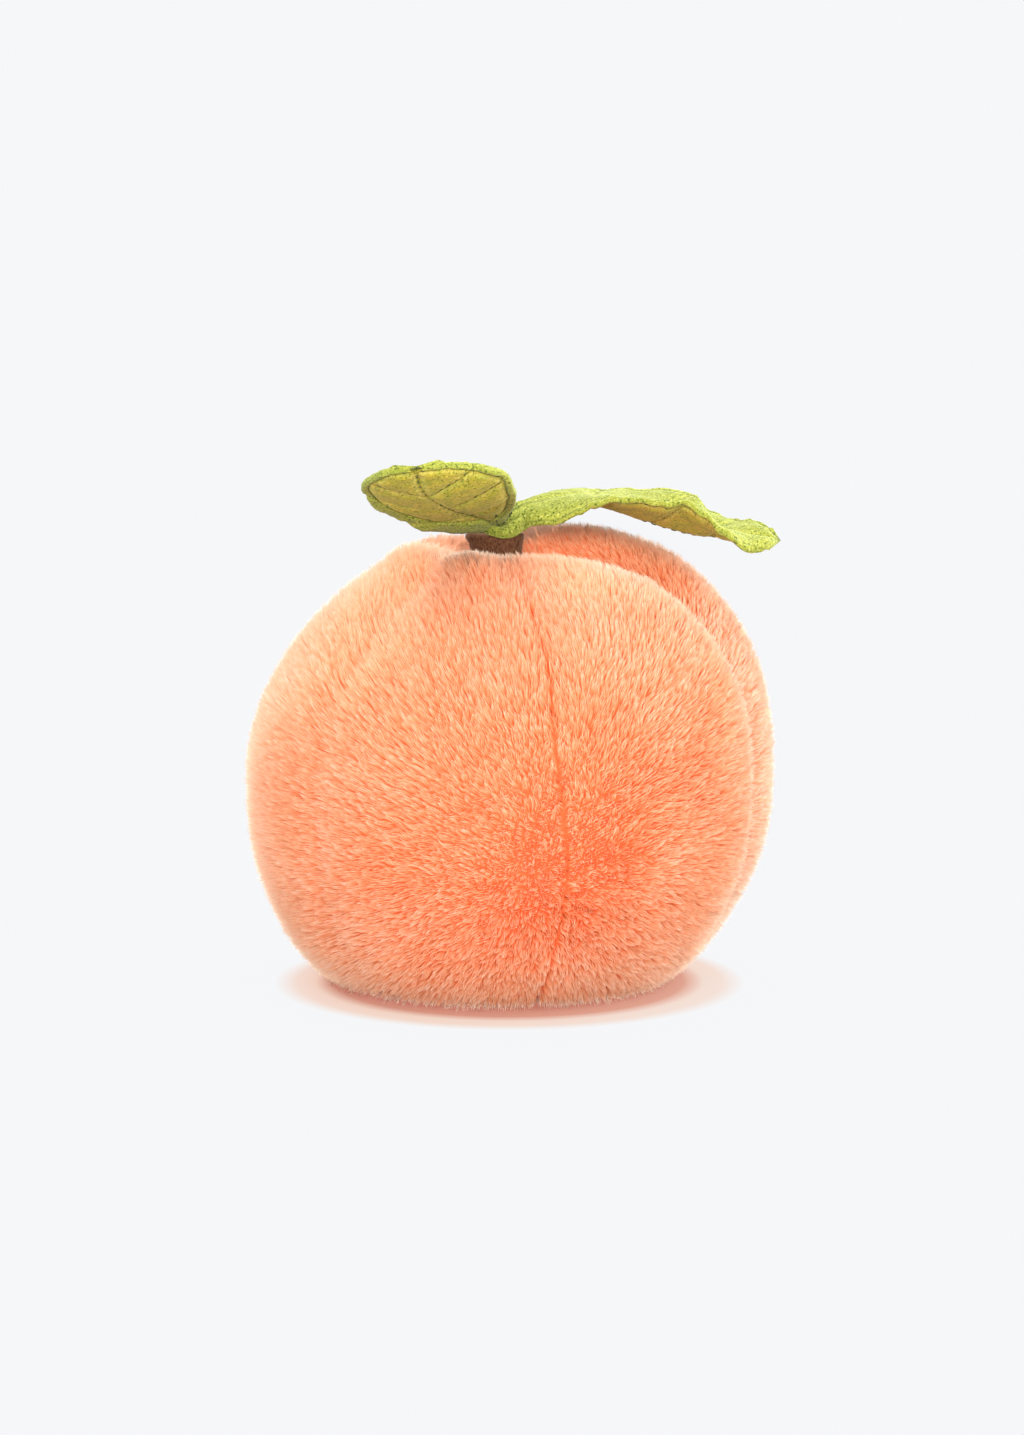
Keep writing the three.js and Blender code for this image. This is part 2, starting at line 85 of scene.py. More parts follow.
# %% A new material
def new_material(name):
    """A material holding one Principled shader; returns it with its nodes and that shader."""
    material = bpy.data.materials.new(name)
    material.use_nodes = True
    nodes = material.node_tree.nodes
    return material, nodes, nodes["Principled BSDF"]


def wire(material, source, target):
    """Joins two sockets."""
    material.node_tree.links.new(source, target)


def set_shader(shader, **values):
    """Sockets of the shader that are the same all over; a _ in a name stands for a space."""
    for name, value in values.items():
        shader.inputs[name.replace("_", " ")].default_value = value


print("finishes start from one Principled shader")


# %% Nodes that many finishes share
def noise(material, scale, detail=2):
    """Noise laid on the piece itself; a larger scale gives a finer grain."""
    nodes = material.node_tree.nodes
    place = nodes.new("ShaderNodeTexCoord")
    node = nodes.new("ShaderNodeTexNoise")
    node.inputs["Scale"].default_value = scale
    node.inputs["Detail"].default_value = detail
    wire(material, place.outputs["Object"], node.inputs["Vector"])
    return node.outputs["Fac"]


def ramp(material, source, stops):
    """Colours at stops from 0 to 1, picked by the source."""
    node = material.node_tree.nodes.new("ShaderNodeValToRGB")
    while len(node.color_ramp.elements) < len(stops):
        node.color_ramp.elements.new(0.5)
    for element, (place, colour) in zip(node.color_ramp.elements, stops):
        element.position = place
        element.color = (*colour, 1)
    wire(material, source, node.inputs["Fac"])
    return node.outputs["Color"]


def multiplied(material, first, second):
    """Two colours multiplied."""
    node = material.node_tree.nodes.new("ShaderNodeMix")
    node.data_type = "RGBA"
    node.blend_type = "MULTIPLY"
    node.inputs["Factor"].default_value = 1.0
    wire(material, first, node.inputs["A"])
    wire(material, second, node.inputs["B"])
    return node.outputs["Result"]


def raised(material, shader, height, strength, metres):
    """A bump of this many metres on the shader's normal."""
    node = material.node_tree.nodes.new("ShaderNodeBump")
    node.inputs["Strength"].default_value = strength
    node.inputs["Distance"].default_value = metres
    wire(material, height, node.inputs["Height"])
    wire(material, node.outputs["Normal"], shader.inputs["Normal"])


print("shared nodes: noise, ramp, multiplied and raised")

# %% [markdown]
# ## Soft light
# Fur looks soft only in soft light. On a real set that comes from large white screens round the toy. A sun
# lamp with a wide angle does the same here: its light is even over the whole ball and its shadows have no
# edge. The strongest one stands at the front, a pair on the right gives the bright rim, a faint one lights
# the left edge, and one high at the back separates the top from the air. Each call also gives back how much
# light it lays on the paper.

# %% Lights
AIR = (0.922, 0.930, 0.948)
world = bpy.data.worlds.new("studio_air")
world.use_nodes = True
world.node_tree.nodes["Background"].inputs["Color"].default_value = (*AIR, 1)
bpy.context.scene.world = world
bpy.context.scene.view_settings.view_transform = "Standard"


def soft_light(name, azimuth, elevation, spread, strength, tint):
    """A far, wide, soft light; azimuth 0 shines from the camera's side and 90 from +X. Returns the light
    that it gives a level sheet of white paper, which is only the part of it above the horizon."""
    bpy.ops.object.light_add(type="SUN")
    lamp = bpy.context.object
    lamp.name = name
    lamp.data.angle = math.radians(spread)
    lamp.data.energy = strength
    lamp.data.color = tint
    lamp.rotation_euler = (math.radians(90 - elevation), 0, math.radians(azimuth))
    rise = math.radians(elevation)
    steps = (np.arange(200) + 0.5) / 200
    ahead, around = np.meshgrid(1 - (1 - math.cos(math.radians(spread) / 2)) * steps, 2 * math.pi * steps)
    sine = ahead * math.sin(rise) + np.sqrt(1 - ahead**2) * np.cos(around) * math.cos(rise)
    return strength / math.pi * np.maximum(sine, 0).mean() / ahead.mean() * np.array(tint)


on_paper = np.array(AIR)
on_paper += soft_light("front_light", 0, 3, 60, 7.0, (1.0, 0.995, 0.98))
on_paper += soft_light("left_rim_light", -90, 5, 60, 0.9, (1.0, 1.0, 1.0))
on_paper += soft_light("right_light", 90, 5, 60, 3.6, (1.0, 0.995, 0.98))
on_paper += soft_light("right_back_light", 130, 15, 60, 4.1, (1.0, 1.0, 1.0))
on_paper += soft_light("top_back_light", -140, 55, 40, 2.5, (1.0, 0.995, 0.98))
print("light on the open paper", on_paper.round(3))

# %% [markdown]
# ## Paper
# On a real set a toy stands on white paper that is swept up behind it, so no horizon shows. A curved sheet
# could do that here, but it would hide the toy from behind. So the paper is one flat disc, so wide that its
# edge is never seen. Its white is worked out from the lamps and is mostly painted light: it glows and
# reflects the rest, so it comes out just as bright as the air, and far out it is nearly all glow, so no
# shadow shows there. Close to the toy it glows less and reflects more, so a short shadow shows there. Its
# warm tint is a painted reflection of the fur above it, both in the orange glow and in the warmer reflecting
# part.

# %% Paper
PAPER_RADIUS = 40.0
GLOW_CENTRE = (-0.001, -0.005, 0.0)
GLOW_REACH = 0.1
# Distance as a share of the reach, the part of the white that glows, and how much painted warm reflection of
# the fur the rest gets.
GLOW = [(0.0, (0.55, 0.20, 0.14), 1.0), (0.475, (0.50, 0.14, 0.09), 1.0), (0.53, (0.93, 0.54, 0.38), 0.15),
        (0.58, (0.95, 0.56, 0.40), 0.15), (0.64, (0.99, 0.985, 0.975), 0.0), (1.0, (0.995, 0.99, 0.985), 0.0)]
# How much green and blue the reflecting part loses near the toy: a painted warm reflection of the fur.
PAINTED_FUR_REFLECTION = np.array((0.0, 0.38, 0.5))
bpy.ops.object.select_all(action="DESELECT")
bpy.ops.mesh.primitive_circle_add(vertices=128, radius=PAPER_RADIUS, fill_type="NGON")
paper = bpy.context.object
paper.name = "paper"
paper_white, nodes, shader = new_material("paper_white")
place = nodes.new("ShaderNodeTexCoord")
away = nodes.new("ShaderNodeVectorMath")
away.operation = "DISTANCE"
away.inputs[1].default_value = GLOW_CENTRE
share = nodes.new("ShaderNodeMath")
share.operation = "DIVIDE"
share.inputs[1].default_value = GLOW_REACH
wire(paper_white, place.outputs["Object"], away.inputs[0])
wire(paper_white, away.outputs["Value"], share.inputs[0])
# The glow is painted light; the last column paints the fur's warm reflection into the paper.
glow = ramp(paper_white, share.outputs["Value"], [(at, np.array(AIR) * part) for at, part, warm in GLOW])
paint = ramp(paper_white, share.outputs["Value"], [
    (at, np.array(AIR) * (1 - np.array(part)) / on_paper * (1 - PAINTED_FUR_REFLECTION * warm)) for at, part, warm in GLOW
])
wire(paper_white, glow, shader.inputs["Emission Color"])
wire(paper_white, paint, shader.inputs["Base Color"])
set_shader(shader, Emission_Strength=1.0, Roughness=1.0, Specular_IOR_Level=0.0)
paper.data.materials.append(paper_white)
print("paper: its glow has", len(GLOW), "stops over", GLOW_REACH, "m")

# %% [markdown]
# ## The ball
# A plush ball is sewn from gores and its skin is what the hand strokes, the ends of the pile. A sphere could
# be sculpted to that shape, but the hairs need the skin's place and direction at every point. So one formula
# gives it: a turned, flattened curve, fuller on one lobe, pulled in along each seam and dimpled round the
# stalk. Every hair of the pile is measured in from it.

# %% Skin formula, in millimetres and degrees from the front towards +X
WAIST_RADIUS, WAIST_HEIGHT = 72.3, 57.0
CROWN_RISE, BASE_DROP = 69.3, 64.0
CROWN_POWER, BASE_POWER = 2.02, 2.4
FOOT_REACH, FOOT_HEIGHT, FOOT_FADE = 6.0, 26.0, 30.0
REAR_LOBE = {"azimuth": 125, "spread": 45, "rise": 5.2, "swell": 0.035}
FRONT_LOBE = {"azimuth": 30, "spread": 40, "rise": -1.0}
DIMPLE_DEPTH, DIMPLE_RADIUS = 8.5, 17.0
SEAMS = np.radians([-46, 10, 74, 134, 194, 254])
LEFT_SEAM, CLEFT = 0, 2
SEAM_FADE_RADIUS = 24.0
STALK_X, STALK_RADIUS = -4.0, 7.4
offset = np.array([
    (stalk_box[0][0] + stalk_box[1][0]) / 2 / MM - STALK_X,
    (stalk_box[0][1] + stalk_box[1][1]) / 2 / MM,
    0.0,
])


def ease(x):
    """A smooth step: 0 below 0, 1 above 1."""
    x = np.clip(x, 0, 1)
    return x * x * (3 - 2 * x)


def turn(angle):
    """The same angle between -pi and pi."""
    return (angle + np.pi) % (2 * np.pi) - np.pi


def power(value, n):
    """A power that keeps the sign."""
    return np.sign(value) * np.abs(value) ** n


def hump(az, lobe):
    """1 at a lobe's azimuth, fading to 0 on both sides of it."""
    return np.exp(-((turn(az - math.radians(lobe["azimuth"])) / math.radians(lobe["spread"])) ** 2))


def profile(az, lat):
    """Distance from the axis and height of the unsewn ball."""
    n = np.where(lat >= 0, CROWN_POWER, BASE_POWER)
    top = np.clip(np.sin(lat), 0, 1)
    rear, front = hump(az, REAR_LOBE), hump(az, FRONT_LOBE)
    rise = CROWN_RISE + (REAR_LOBE["rise"] * rear + FRONT_LOBE["rise"] * front) * top**2
    reach = np.where(lat >= 0, rise, BASE_DROP)
    radius = WAIST_RADIUS * np.abs(np.cos(lat)) ** (2 / n) * (1 + REAR_LOBE["swell"] * rear * top)
    height = WAIST_HEIGHT + reach * power(np.sin(lat), 2 / n)
    low = np.clip(1 - np.maximum(height, 0) / FOOT_HEIGHT, 0, 1)
    return radius + FOOT_REACH * low**2 * ease(radius / FOOT_FADE), height


print("the unsewn ball is widest at", round(float(profile(0.0, np.zeros(1))[0][0]), 1), "mm from its axis")


# %% Seams drawn in
# Depth and width of the groove at a seam, in mm: at the waist, and what is added to each up high.
GROOVES = {CLEFT: (5.5, 3.5, 8, 3), LEFT_SEAM: (0.7, 2.2, 5, 6)}
PLAIN_GROOVE = (0.7, 0.8, 5, 3)
SHALLOWER_BELOW = 0.4
GROOVE_ROUNDING = 1.6


def pulled_in(az, lat, radius):
    """How far the seams draw the skin in."""
    high = ease((np.sin(lat) - 0.2) / 0.6)
    low = ease(-np.sin(lat) / 0.95)
    total = np.zeros_like(radius)
    for index, seam in enumerate(SEAMS):
        depth, more_depth, width, more_width = GROOVES.get(index, PLAIN_GROOVE)
        deep, wide = depth + more_depth * high, width + more_width * high
        deep = deep * (1 - low) if index == CLEFT else deep - SHALLOWER_BELOW * low
        total = total + deep * np.exp(-np.abs(radius * turn(az - seam) / wide) ** GROOVE_ROUNDING)
    return total * ease(radius / SEAM_FADE_RADIUS)


def axis_x(lat):
    """How far the ball leans to one side at each height."""
    s = np.sin(lat)
    return -3.5 + 3 * ease(s + 1) + 4.5 * ease(s / 0.85) - 8 * ease((s - 0.8) / 0.2)


def seam_drift(az, lat):
    """The front seam was sewn a little askew; the gores follow it."""
    lean = 0.055 - 0.10 * ease((np.sin(lat) + 0.3) / 0.9) - 0.15 * ease((np.sin(lat) - 0.45) / 0.5)
    return lean * np.exp(-((turn(az - SEAMS[1]) / 0.5) ** 2))


print("depth of the cleft up high:", pulled_in(SEAMS[CLEFT], np.full(1, 0.8), np.full(1, 50.0)).round(1))


# %% The outer skin
def skin(az, lat):
    """Points of the outer skin in millimetres."""
    step, pole = 1e-3, np.pi / 2 - 1e-4
    sewn, az = az, az + seam_drift(az, lat)
    radius, height = profile(az, lat)
    r1, z1 = profile(az, np.clip(lat + step, -pole, pole))
    r0, z0 = profile(az, np.clip(lat - step, -pole, pole))
    length = np.hypot(r1 - r0, z1 - z0)
    out, up = (z1 - z0) / length, -(r1 - r0) / length
    deep = pulled_in(sewn, lat, radius)
    radius = np.maximum(radius - out * deep, 0)
    height = height - up * deep - DIMPLE_DEPTH * np.exp(-((radius / DIMPLE_RADIUS) ** 2)) * (lat > 0)
    place = [radius * np.sin(az) + axis_x(lat), -radius * np.cos(az), np.maximum(height, 0)]
    return np.stack(place, -1) + offset


def unit(v):
    """Vectors of the same directions and length 1."""
    return v / np.maximum(np.linalg.norm(v, axis=-1, keepdims=True), 1e-9)


def skin_frame(az, lat):
    """Skin points with their outward, upward and sideways directions."""
    step = 2e-3
    up = skin(az, lat + step) - skin(az, lat - step)
    side = skin(az + step, lat) - skin(az - step, lat)
    normal = unit(np.cross(side, up))
    up = unit(up - normal * np.sum(up * normal, -1, keepdims=True))
    return skin(az, lat), normal, up, np.cross(up, normal)


print("skin spans", skin(np.linspace(-3, 3, 99), np.zeros(99)).min(0).round(1))

# %% [markdown]
# ## The pile
# Plush is a knitted cloth with short fibres standing in it by the thousand. They lean with the nap, and
# neighbours cling together in small tufts. A bump can't give the soft broken edge that they make against
# the light, so each fibre is a real spike of three thin faces. The next cells are helpers for that: a soft
# random field that makes the nap drift, an even scatter of roots over a gore, and a maker of pieces.

# %% A soft random field
def waves(points, length, count, seed):
    """A soft random field: a few plane waves of about one length, from -1 to 1."""
    field = np.random.default_rng(seed)
    ways = unit(field.normal(size=(count, 3))) * (2 * np.pi / length)
    ways *= field.uniform(0.7, 1.4, (count, 1))
    phase = field.uniform(0, 2 * np.pi, count)
    return np.sin(points @ ways.T + phase).sum(-1) / math.sqrt(count)


print("a field value at the top of the ball:", waves(skin(np.zeros(1), np.ones(1)), 20, 6, 1).round(2))

# %% Roots spread evenly
GORE_ROWS, GORE_COLUMNS = 160, 64
LAT_SOLE, LAT_CROWN = -math.pi / 2 + 0.002, 1.462
SOLE_SINE, SOLE_SHARE = -0.875, 0.35
# Steps whose multiples never line up in rows: 1.3247 solves x * x * x = x + 1, and these are 1 / 1.3247
# and its square.
EVEN_STEPS = (0.7548776662466927, 0.5698402909980532)


def gore_seams(gore):
    """Azimuths of the seams that bound a gore."""
    first = SEAMS[gore]
    return first, first + turn(SEAMS[(gore + 1) % len(SEAMS)] - first) % (2 * np.pi)


def even_roots(gore, count):
    """Azimuth and latitude of points spread evenly over one gore's area, and that area."""
    a0, a1 = gore_seams(gore)
    u = np.linspace(0, 1, GORE_COLUMNS + 1)
    lat = np.linspace(LAT_SOLE, LAT_CROWN, GORE_ROWS + 1)
    grid = skin(*np.broadcast_arrays((a0 + (a1 - a0) * u)[None, :], lat[:, None]))
    cross = np.cross(grid[1:, 1:] - grid[:-1, :-1], grid[1:, :-1] - grid[:-1, 1:])
    area = np.linalg.norm(cross, axis=-1) / 2
    area *= np.where(np.sin(lat[1:]) < SOLE_SINE, SOLE_SHARE, 1)[:, None]
    rows = np.r_[0, np.cumsum(area.sum(1))]
    order = np.arange(count)
    first, second = ((order * step + 0.5) % 1 for step in EVEN_STEPS)
    along = np.interp(first * rows[-1], rows, lat)
    row = np.clip(np.searchsorted(rows, first * rows[-1]) - 1, 0, GORE_ROWS - 1)
    across = np.concatenate([np.zeros((GORE_ROWS, 1)), np.cumsum(area, 1)], 1)
    across /= across[:, -1:]
    pick = np.empty(count)
    for r in range(GORE_ROWS):
        mine = row == r
        pick[mine] = np.interp(second[mine], across[r], u)
    return a0 + (a1 - a0) * pick, along, rows[-1]


print("area of each gore in square mm:", [round(even_roots(gore, 8)[2]) for gore in range(len(SEAMS))])


# %% A maker of pieces
def new_piece(name, points, faces, uv=None):
    """A mesh object from points in millimetres and faces of one size; uv is one pair for each point."""
    faces = np.asarray(faces, np.int32)
    mesh = bpy.data.meshes.new(name)
    mesh.vertices.add(len(points))
    mesh.vertices.foreach_set("co", (np.asarray(points) * MM).astype(np.float32).ravel())
    corners = faces.shape[1]
    mesh.loops.add(faces.size)
    mesh.loops.foreach_set("vertex_index", faces.ravel())
    mesh.polygons.add(len(faces))
    mesh.polygons.foreach_set("loop_start", np.arange(0, faces.size, corners, dtype=np.int32))
    mesh.polygons.foreach_set("use_smooth", np.ones(len(faces), bool))
    mesh.update(calc_edges=True)
    if uv is not None:
        layer = mesh.uv_layers.new(name="OFBake")
        layer.data.foreach_set("uv", np.asarray(uv, np.float32)[faces.ravel()].ravel())
    piece = bpy.data.objects.new(name, mesh)
    bpy.context.collection.objects.link(piece)
    return piece


def hand_over(piece, finish, nodes=()):
    """Gives a piece its finish, says what it rides on, and hides the nodes of the model that it stands for.
    """
    piece.data.materials.append(finish)
    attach(piece, "root")
    if nodes:
        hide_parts(*nodes)


print("piece maker ready")


# %% Faces of sheets and tubes
def grid_faces(rows, columns, flip=False):
    """Quads of a sheet whose points lie in rows and columns."""
    index = np.arange(rows * columns).reshape(rows, columns)
    quads = np.stack([index[:-1, :-1], index[:-1, 1:], index[1:, 1:], index[1:, :-1]], -1).reshape(-1, 4)
    return quads[:, ::-1] if flip else quads


def pad_faces(rows, columns):
    """Quads of two such sheets, front and back, joined round their edge."""
    index = np.arange(rows * columns).reshape(rows, columns)
    front = grid_faces(rows, columns)
    rim = np.concatenate([index[0, :-1], index[:-1, -1], index[-1, :0:-1], index[:0:-1, 0]])
    after = np.roll(rim, -1)
    edges = np.stack([after, rim, rim + index.size, after + index.size], -1)
    return np.concatenate([front, front[:, ::-1] + index.size, edges])


def triangles(quads):
    """Each quad cut in two."""
    return np.concatenate([quads[:, [0, 1, 2]], quads[:, [0, 2, 3]]])


def tube_faces(rings, sides):
    """Quads round a tube of rings, open at both ends."""
    index = np.arange(rings * sides).reshape(rings, sides)
    after = np.roll(index, -1, 1)
    return np.stack([index[:-1], after[:-1], after[1:], index[1:]], -1).reshape(-1, 4)


def turned_faces(rings, sides):
    """Triangles of such a tube whose last two points close the foot and the top."""
    first = np.arange(sides)
    after, top = np.roll(first, -1), (rings - 1) * sides
    foot_cap = np.stack([after, first, np.full(sides, rings * sides)], -1)
    top_cap = np.stack([first + top, after + top, np.full(sides, rings * sides + 1)], -1)
    return np.concatenate([triangles(tube_faces(rings, sides)), foot_cap, top_cap])


print("a pad of 3 by 3 points has", len(pad_faces(3, 3)), "faces")

# %% [markdown]
# ## Tufts and hairs
# One hair alone looks like wire. What the eye reads as plush is the tuft: five or six hairs that lean the
# same way, reach the same length and share a tone. So each hair finds its nearest tuft, takes the tuft's
# lean, length and tone, and then a little of its own. Every hair carries its height in V and its tone in U
# of a UV map, so one material can colour all of them along their length.

# %% Tufts and spikes
from mathutils.kdtree import KDTree

UV_EDGE = 0.02


def nearest_clump(roots, centres):
    """The nearest centre to each root."""
    tree = KDTree(len(centres))
    for index, centre in enumerate(centres):
        tree.insert(centre, index)
    tree.balance()
    return np.array([tree.find(root)[1] for root in roots])


def spikes(root, tip, normal, thick, tone, pick):
    """One three-sided spike for each hair: points, faces, uv and soft normals."""
    count = len(root)
    way = unit(tip - root)
    across = unit(np.cross(way, pick.normal(size=(count, 3))))
    beside = np.cross(way, across)
    width = thick / 2 * pick.uniform(0.75, 1.25, count)
    ring = []
    for k in range(3):
        angle = 2 * np.pi * k / 3
        ring.append(root + (across * math.cos(angle) + beside * math.sin(angle)) * width[:, None])
    points = np.stack(ring + [tip], 1)
    foot, end = UV_EDGE, 1 - UV_EDGE
    uv = np.stack([np.repeat(np.clip(tone, foot, end), 4), np.tile([foot, foot, foot, end], count)], -1)
    base = np.arange(count)[:, None, None] * 4
    faces = (base + np.array([[0, 1, 3], [1, 2, 3], [2, 0, 3]])[None]).reshape(-1, 3)
    round_way = unit(points[:, :3] - root[:, None])
    soft = np.concatenate([
        unit(normal[:, None] + 0.22 * round_way),
        unit(0.8 * normal + 0.5 * way)[:, None],
    ], 1)
    return points.reshape(-1, 3), faces, uv, soft.reshape(-1, 3)


print("one hair has 3 faces")

# %% [markdown]
# ## One gore of fur
# The nap runs up the ball and slants a little to one side. Hairs beside a seam are drawn into it and part
# there, and painted shade darkens the parted hairs, so the seams show as soft lines. Under the toy the pile
# is pressed flat, and round the stalk, where the cloth is gathered, it is shorter and painted shade makes it
# browner. The next cell paints light and shade into the pile in a few more places. Hair can be combed by hand
# in Blender, but six gores that have to match at their seams are easier as one function, which reads all of
# this from a hair's place.

# %% Where painted light and shade make the pile paler or browner
# Painted shade round the stalk, where the leaves and the stalk shade the pile, and how far it reaches.
STALK_SHADE, STALK_SHADE_REACH = 0.66, 25.0
# Painted light on the rear crest and beside the front seam, and painted shade in front of the stalk.
PAINTED_LIGHT_AND_SHADE_PATCHES = [
    {"azimuth": 134, "spread": 22, "from": 0.6, "to": 1.2, "change": 0.3},
    {"azimuth": 32, "spread": 24, "from": 0.35, "to": 0.95, "change": 0.16},
    {"azimuth": -10, "spread": 20, "from": 0.7, "to": 1.1, "change": -0.2},
]
# The foot of the ball: painted shade in a brown line where it meets the table, and painted light in a pale
# band above it.
FOOT_PAINTED_SHADE, FOOT_PAINTED_SHADE_HEIGHT = 0.2, 4.0
FOOT_PAINTED_LIGHT, FOOT_PAINTED_LIGHT_HEIGHT = 0.15, 30.0
# Painted light on the side of the rear lobe in the cleft, and painted shade at its top.
CLEFT_PAINTED_LIGHT, CLEFT_TOP_SHADE = 0.5, 0.12


def near_stalk(place, lat):
    """1 beside the stalk, fading to 0 away from it."""
    gap = np.hypot(place[:, 0] - STALK_X - offset[0], place[:, 1] - offset[1])
    return np.exp(-((gap / STALK_SHADE_REACH) ** 2)) * (lat > 0)


def tone_shift(gore, az, lat, place):
    """How much paler, or browner where it is below 0, the pile of a gore is at each root: painted light and
    shade.
    """
    high, height = np.sin(lat), place[:, 2]
    shift = FOOT_PAINTED_LIGHT * ease(1 - height / FOOT_PAINTED_LIGHT_HEIGHT) - FOOT_PAINTED_SHADE * ease(1 - height / FOOT_PAINTED_SHADE_HEIGHT)
    for patch in PAINTED_LIGHT_AND_SHADE_PATCHES:
        between = ease((high - patch["from"]) / 0.2) * ease((patch["to"] - high) / 0.1)
        shift = shift + patch["change"] * hump(az, patch) * between
    # Painted shade round the stalk, on every gore but the cleft.
    if gore != CLEFT:
        return shift - STALK_SHADE * near_stalk(place, lat) * ease(0.5 + 0.6 * np.cos(az))
    first, last = gore_seams(gore)
    # In the cleft gore, painted light brightens the side of the rear lobe and painted shade darkens its top.
    side_on = 1 - 0.8 * ease((az - first - 0.1) / 0.2)
    pale = CLEFT_PAINTED_LIGHT * side_on * ease((0.85 - high) / 0.35) - CLEFT_TOP_SHADE * ease((high - 0.7) / 0.15)
    return shift + pale * ease((last - az) / 0.3)


print("patches of another tone:", len(PAINTED_LIGHT_AND_SHADE_PATCHES))

# %% Hairs of one gore
PILE, CLUMP, HAIRS_PER_MM2, HAIR_WIDTH = 4.3, 6, 3.9, 0.435
# How strongly the hairs part at each seam, and how far from it, in mm, they turn away and part.
PARTING, TURN_REACH, PARTING_REACH = [0.35, 1.0, 0.9, 0.35, 0.35, 0.35], 1.4, 0.8
LEAN, CROWN_LEAN, SOLE_LEAN, SIDE_LEAN = 0.37, 0.14, 0.5, -0.17
TUFT_PULL, TUFT_LENGTH, TUFT_SPREAD, TUFT_TONE = (0.1, 0.5), (0.84, 1.08), 0.09, 0.13
HAIR_LENGTH, HAIR_SPREAD, HAIR_TONE = (0.82, 1.06), 0.06, 0.10
# The darkest random tone a tuft may take, and how much painted shade darkens the hairs in a parting.
DARKEST_TUFT, PARTING_SHADE = 0.24, 0.24


def fur(gore):
    """Every hair of a gore, as spikes() gives them."""
    count = int(even_roots(gore, 8)[2] * HAIRS_PER_MM2)
    groups = count // CLUMP
    az, lat, _ = even_roots(gore, count)
    place, normal, up, side = skin_frame(az, lat)
    pick = np.random.default_rng(100 + gore)
    first, last = gore_seams(gore)
    nearer_first = az - first < last - az
    reach_out = np.hypot(place[:, 0] - offset[0], place[:, 1] - offset[1])
    seam_gap = np.minimum(az - first, last - az) * reach_out
    strength = np.where(nearer_first, PARTING[gore], PARTING[(gore + 1) % len(SEAMS)])
    strength = strength * (0.25 + 0.75 * ease((0.8 - lat) / 0.5))
    away = np.where(nearer_first, 1, -1) * strength * np.exp(-((seam_gap / TURN_REACH) ** 2))
    parting = strength * np.exp(-((seam_gap / PARTING_REACH) ** 2)) * (0.75 + 0.35 * waves(place, 9, 5, 6))

    sole = ease((SOLE_SINE + 0.03 - np.sin(lat)) / 0.06)
    pile = PILE * (1 - 0.35 * sole)
    lean = LEAN + CROWN_LEAN * ease(np.sin(lat)) + SOLE_LEAN * sole
    lean = lean + 0.05 * waves(place, 24, 6, 1) + 0.07 * waves(place, 7, 6, 2)
    slant = SIDE_LEAN + 0.2 * away + 0.05 * waves(place, 26, 6, 3) + 0.07 * waves(place, 6, 6, 4)
    way = unit(normal + up * lean[:, None] + side * slant[:, None])

    clump = nearest_clump(place, place[:groups])
    clump_tone = pick.normal(0, 1, groups)[clump]
    clump_pull = pick.uniform(*TUFT_PULL, groups)[clump]
    clump_length = pick.uniform(*TUFT_LENGTH, groups)[clump]
    clump_way = pick.normal(0, TUFT_SPREAD, (groups, 3))[clump]
    root = place - normal * pile[:, None]
    reach = pile * clump_length * pick.uniform(*HAIR_LENGTH, count)
    reach = reach * (1 - 0.25 * parting) * (1 - 0.35 * near_stalk(place, lat))
    way = unit(way + clump_way + pick.normal(0, HAIR_SPREAD, (count, 3)))
    tip = root + way * (reach / np.sum(way * normal, -1))[:, None]
    members = np.maximum(np.bincount(clump, minlength=groups), 1)
    middle = np.stack([np.bincount(clump, tip[:, k], groups) / members for k in range(3)], -1)
    tip = tip + (middle[clump] - tip) * clump_pull[:, None]
    tip[:, 2] = np.maximum(tip[:, 2], 0.03)

    calm = 1 - 0.45 * ease((np.sin(lat) - 0.35) / 0.5)
    tone = 0.5 + (TUFT_TONE * clump_tone + HAIR_TONE * pick.normal(size=count)) * calm
    # Random tone for tufts and hairs, with painted shade in the partings and the painted light and shade of
    # tone_shift.
    tone = np.maximum(tone + 0.06 * waves(place, 30, 5, 5), DARKEST_TUFT) - PARTING_SHADE * parting
    return spikes(root, tip, normal, HAIR_WIDTH, tone + tone_shift(gore, az, lat, place), pick)


print("hairs on the first gore:", int(even_roots(0, 8)[2] * HAIRS_PER_MM2))

# %% Backing cloth
BACK_ROWS, BACK_COLUMNS, BACK_THICKNESS = 61, 25, 0.8
# The backing takes the colour near the roots of the pile's ramp, which is partly painted shade.
BACK_COLOUR = (0.45, 0.03)
BACK_FLOOR = 0.6


def backing(gore):
    """The cloth that the pile grows from: a thin closed sheet over one gore."""
    a0, a1 = gore_seams(gore)
    lat = np.linspace(LAT_SOLE, LAT_CROWN, BACK_ROWS)[:, None]
    az, lat = np.broadcast_arrays(np.linspace(a0, a1, BACK_COLUMNS)[None, :], lat)
    place, normal = skin_frame(az, lat)[:2]
    edge = np.minimum(np.abs(az - a0), np.abs(az - a1)) * np.hypot(place[..., 0], place[..., 1])
    deep = PILE + 0.3 * np.exp(-((edge / 1.2) ** 2))
    sheets = []
    for layer in (0, BACK_THICKNESS):
        sheet = place - normal * (deep + layer)[..., None]
        sheet[..., 2] = np.maximum(sheet[..., 2], BACK_FLOOR + layer)
        sheets.append(sheet.reshape(-1, 3))
    points = np.concatenate(sheets)
    way = normal.reshape(-1, 3)
    faces = triangles(pad_faces(BACK_ROWS, BACK_COLUMNS))
    return points, faces, np.full((len(points), 2), BACK_COLOUR), np.concatenate([way, -way])


print("backing of one gore:", len(backing(0)[1]), "triangles")

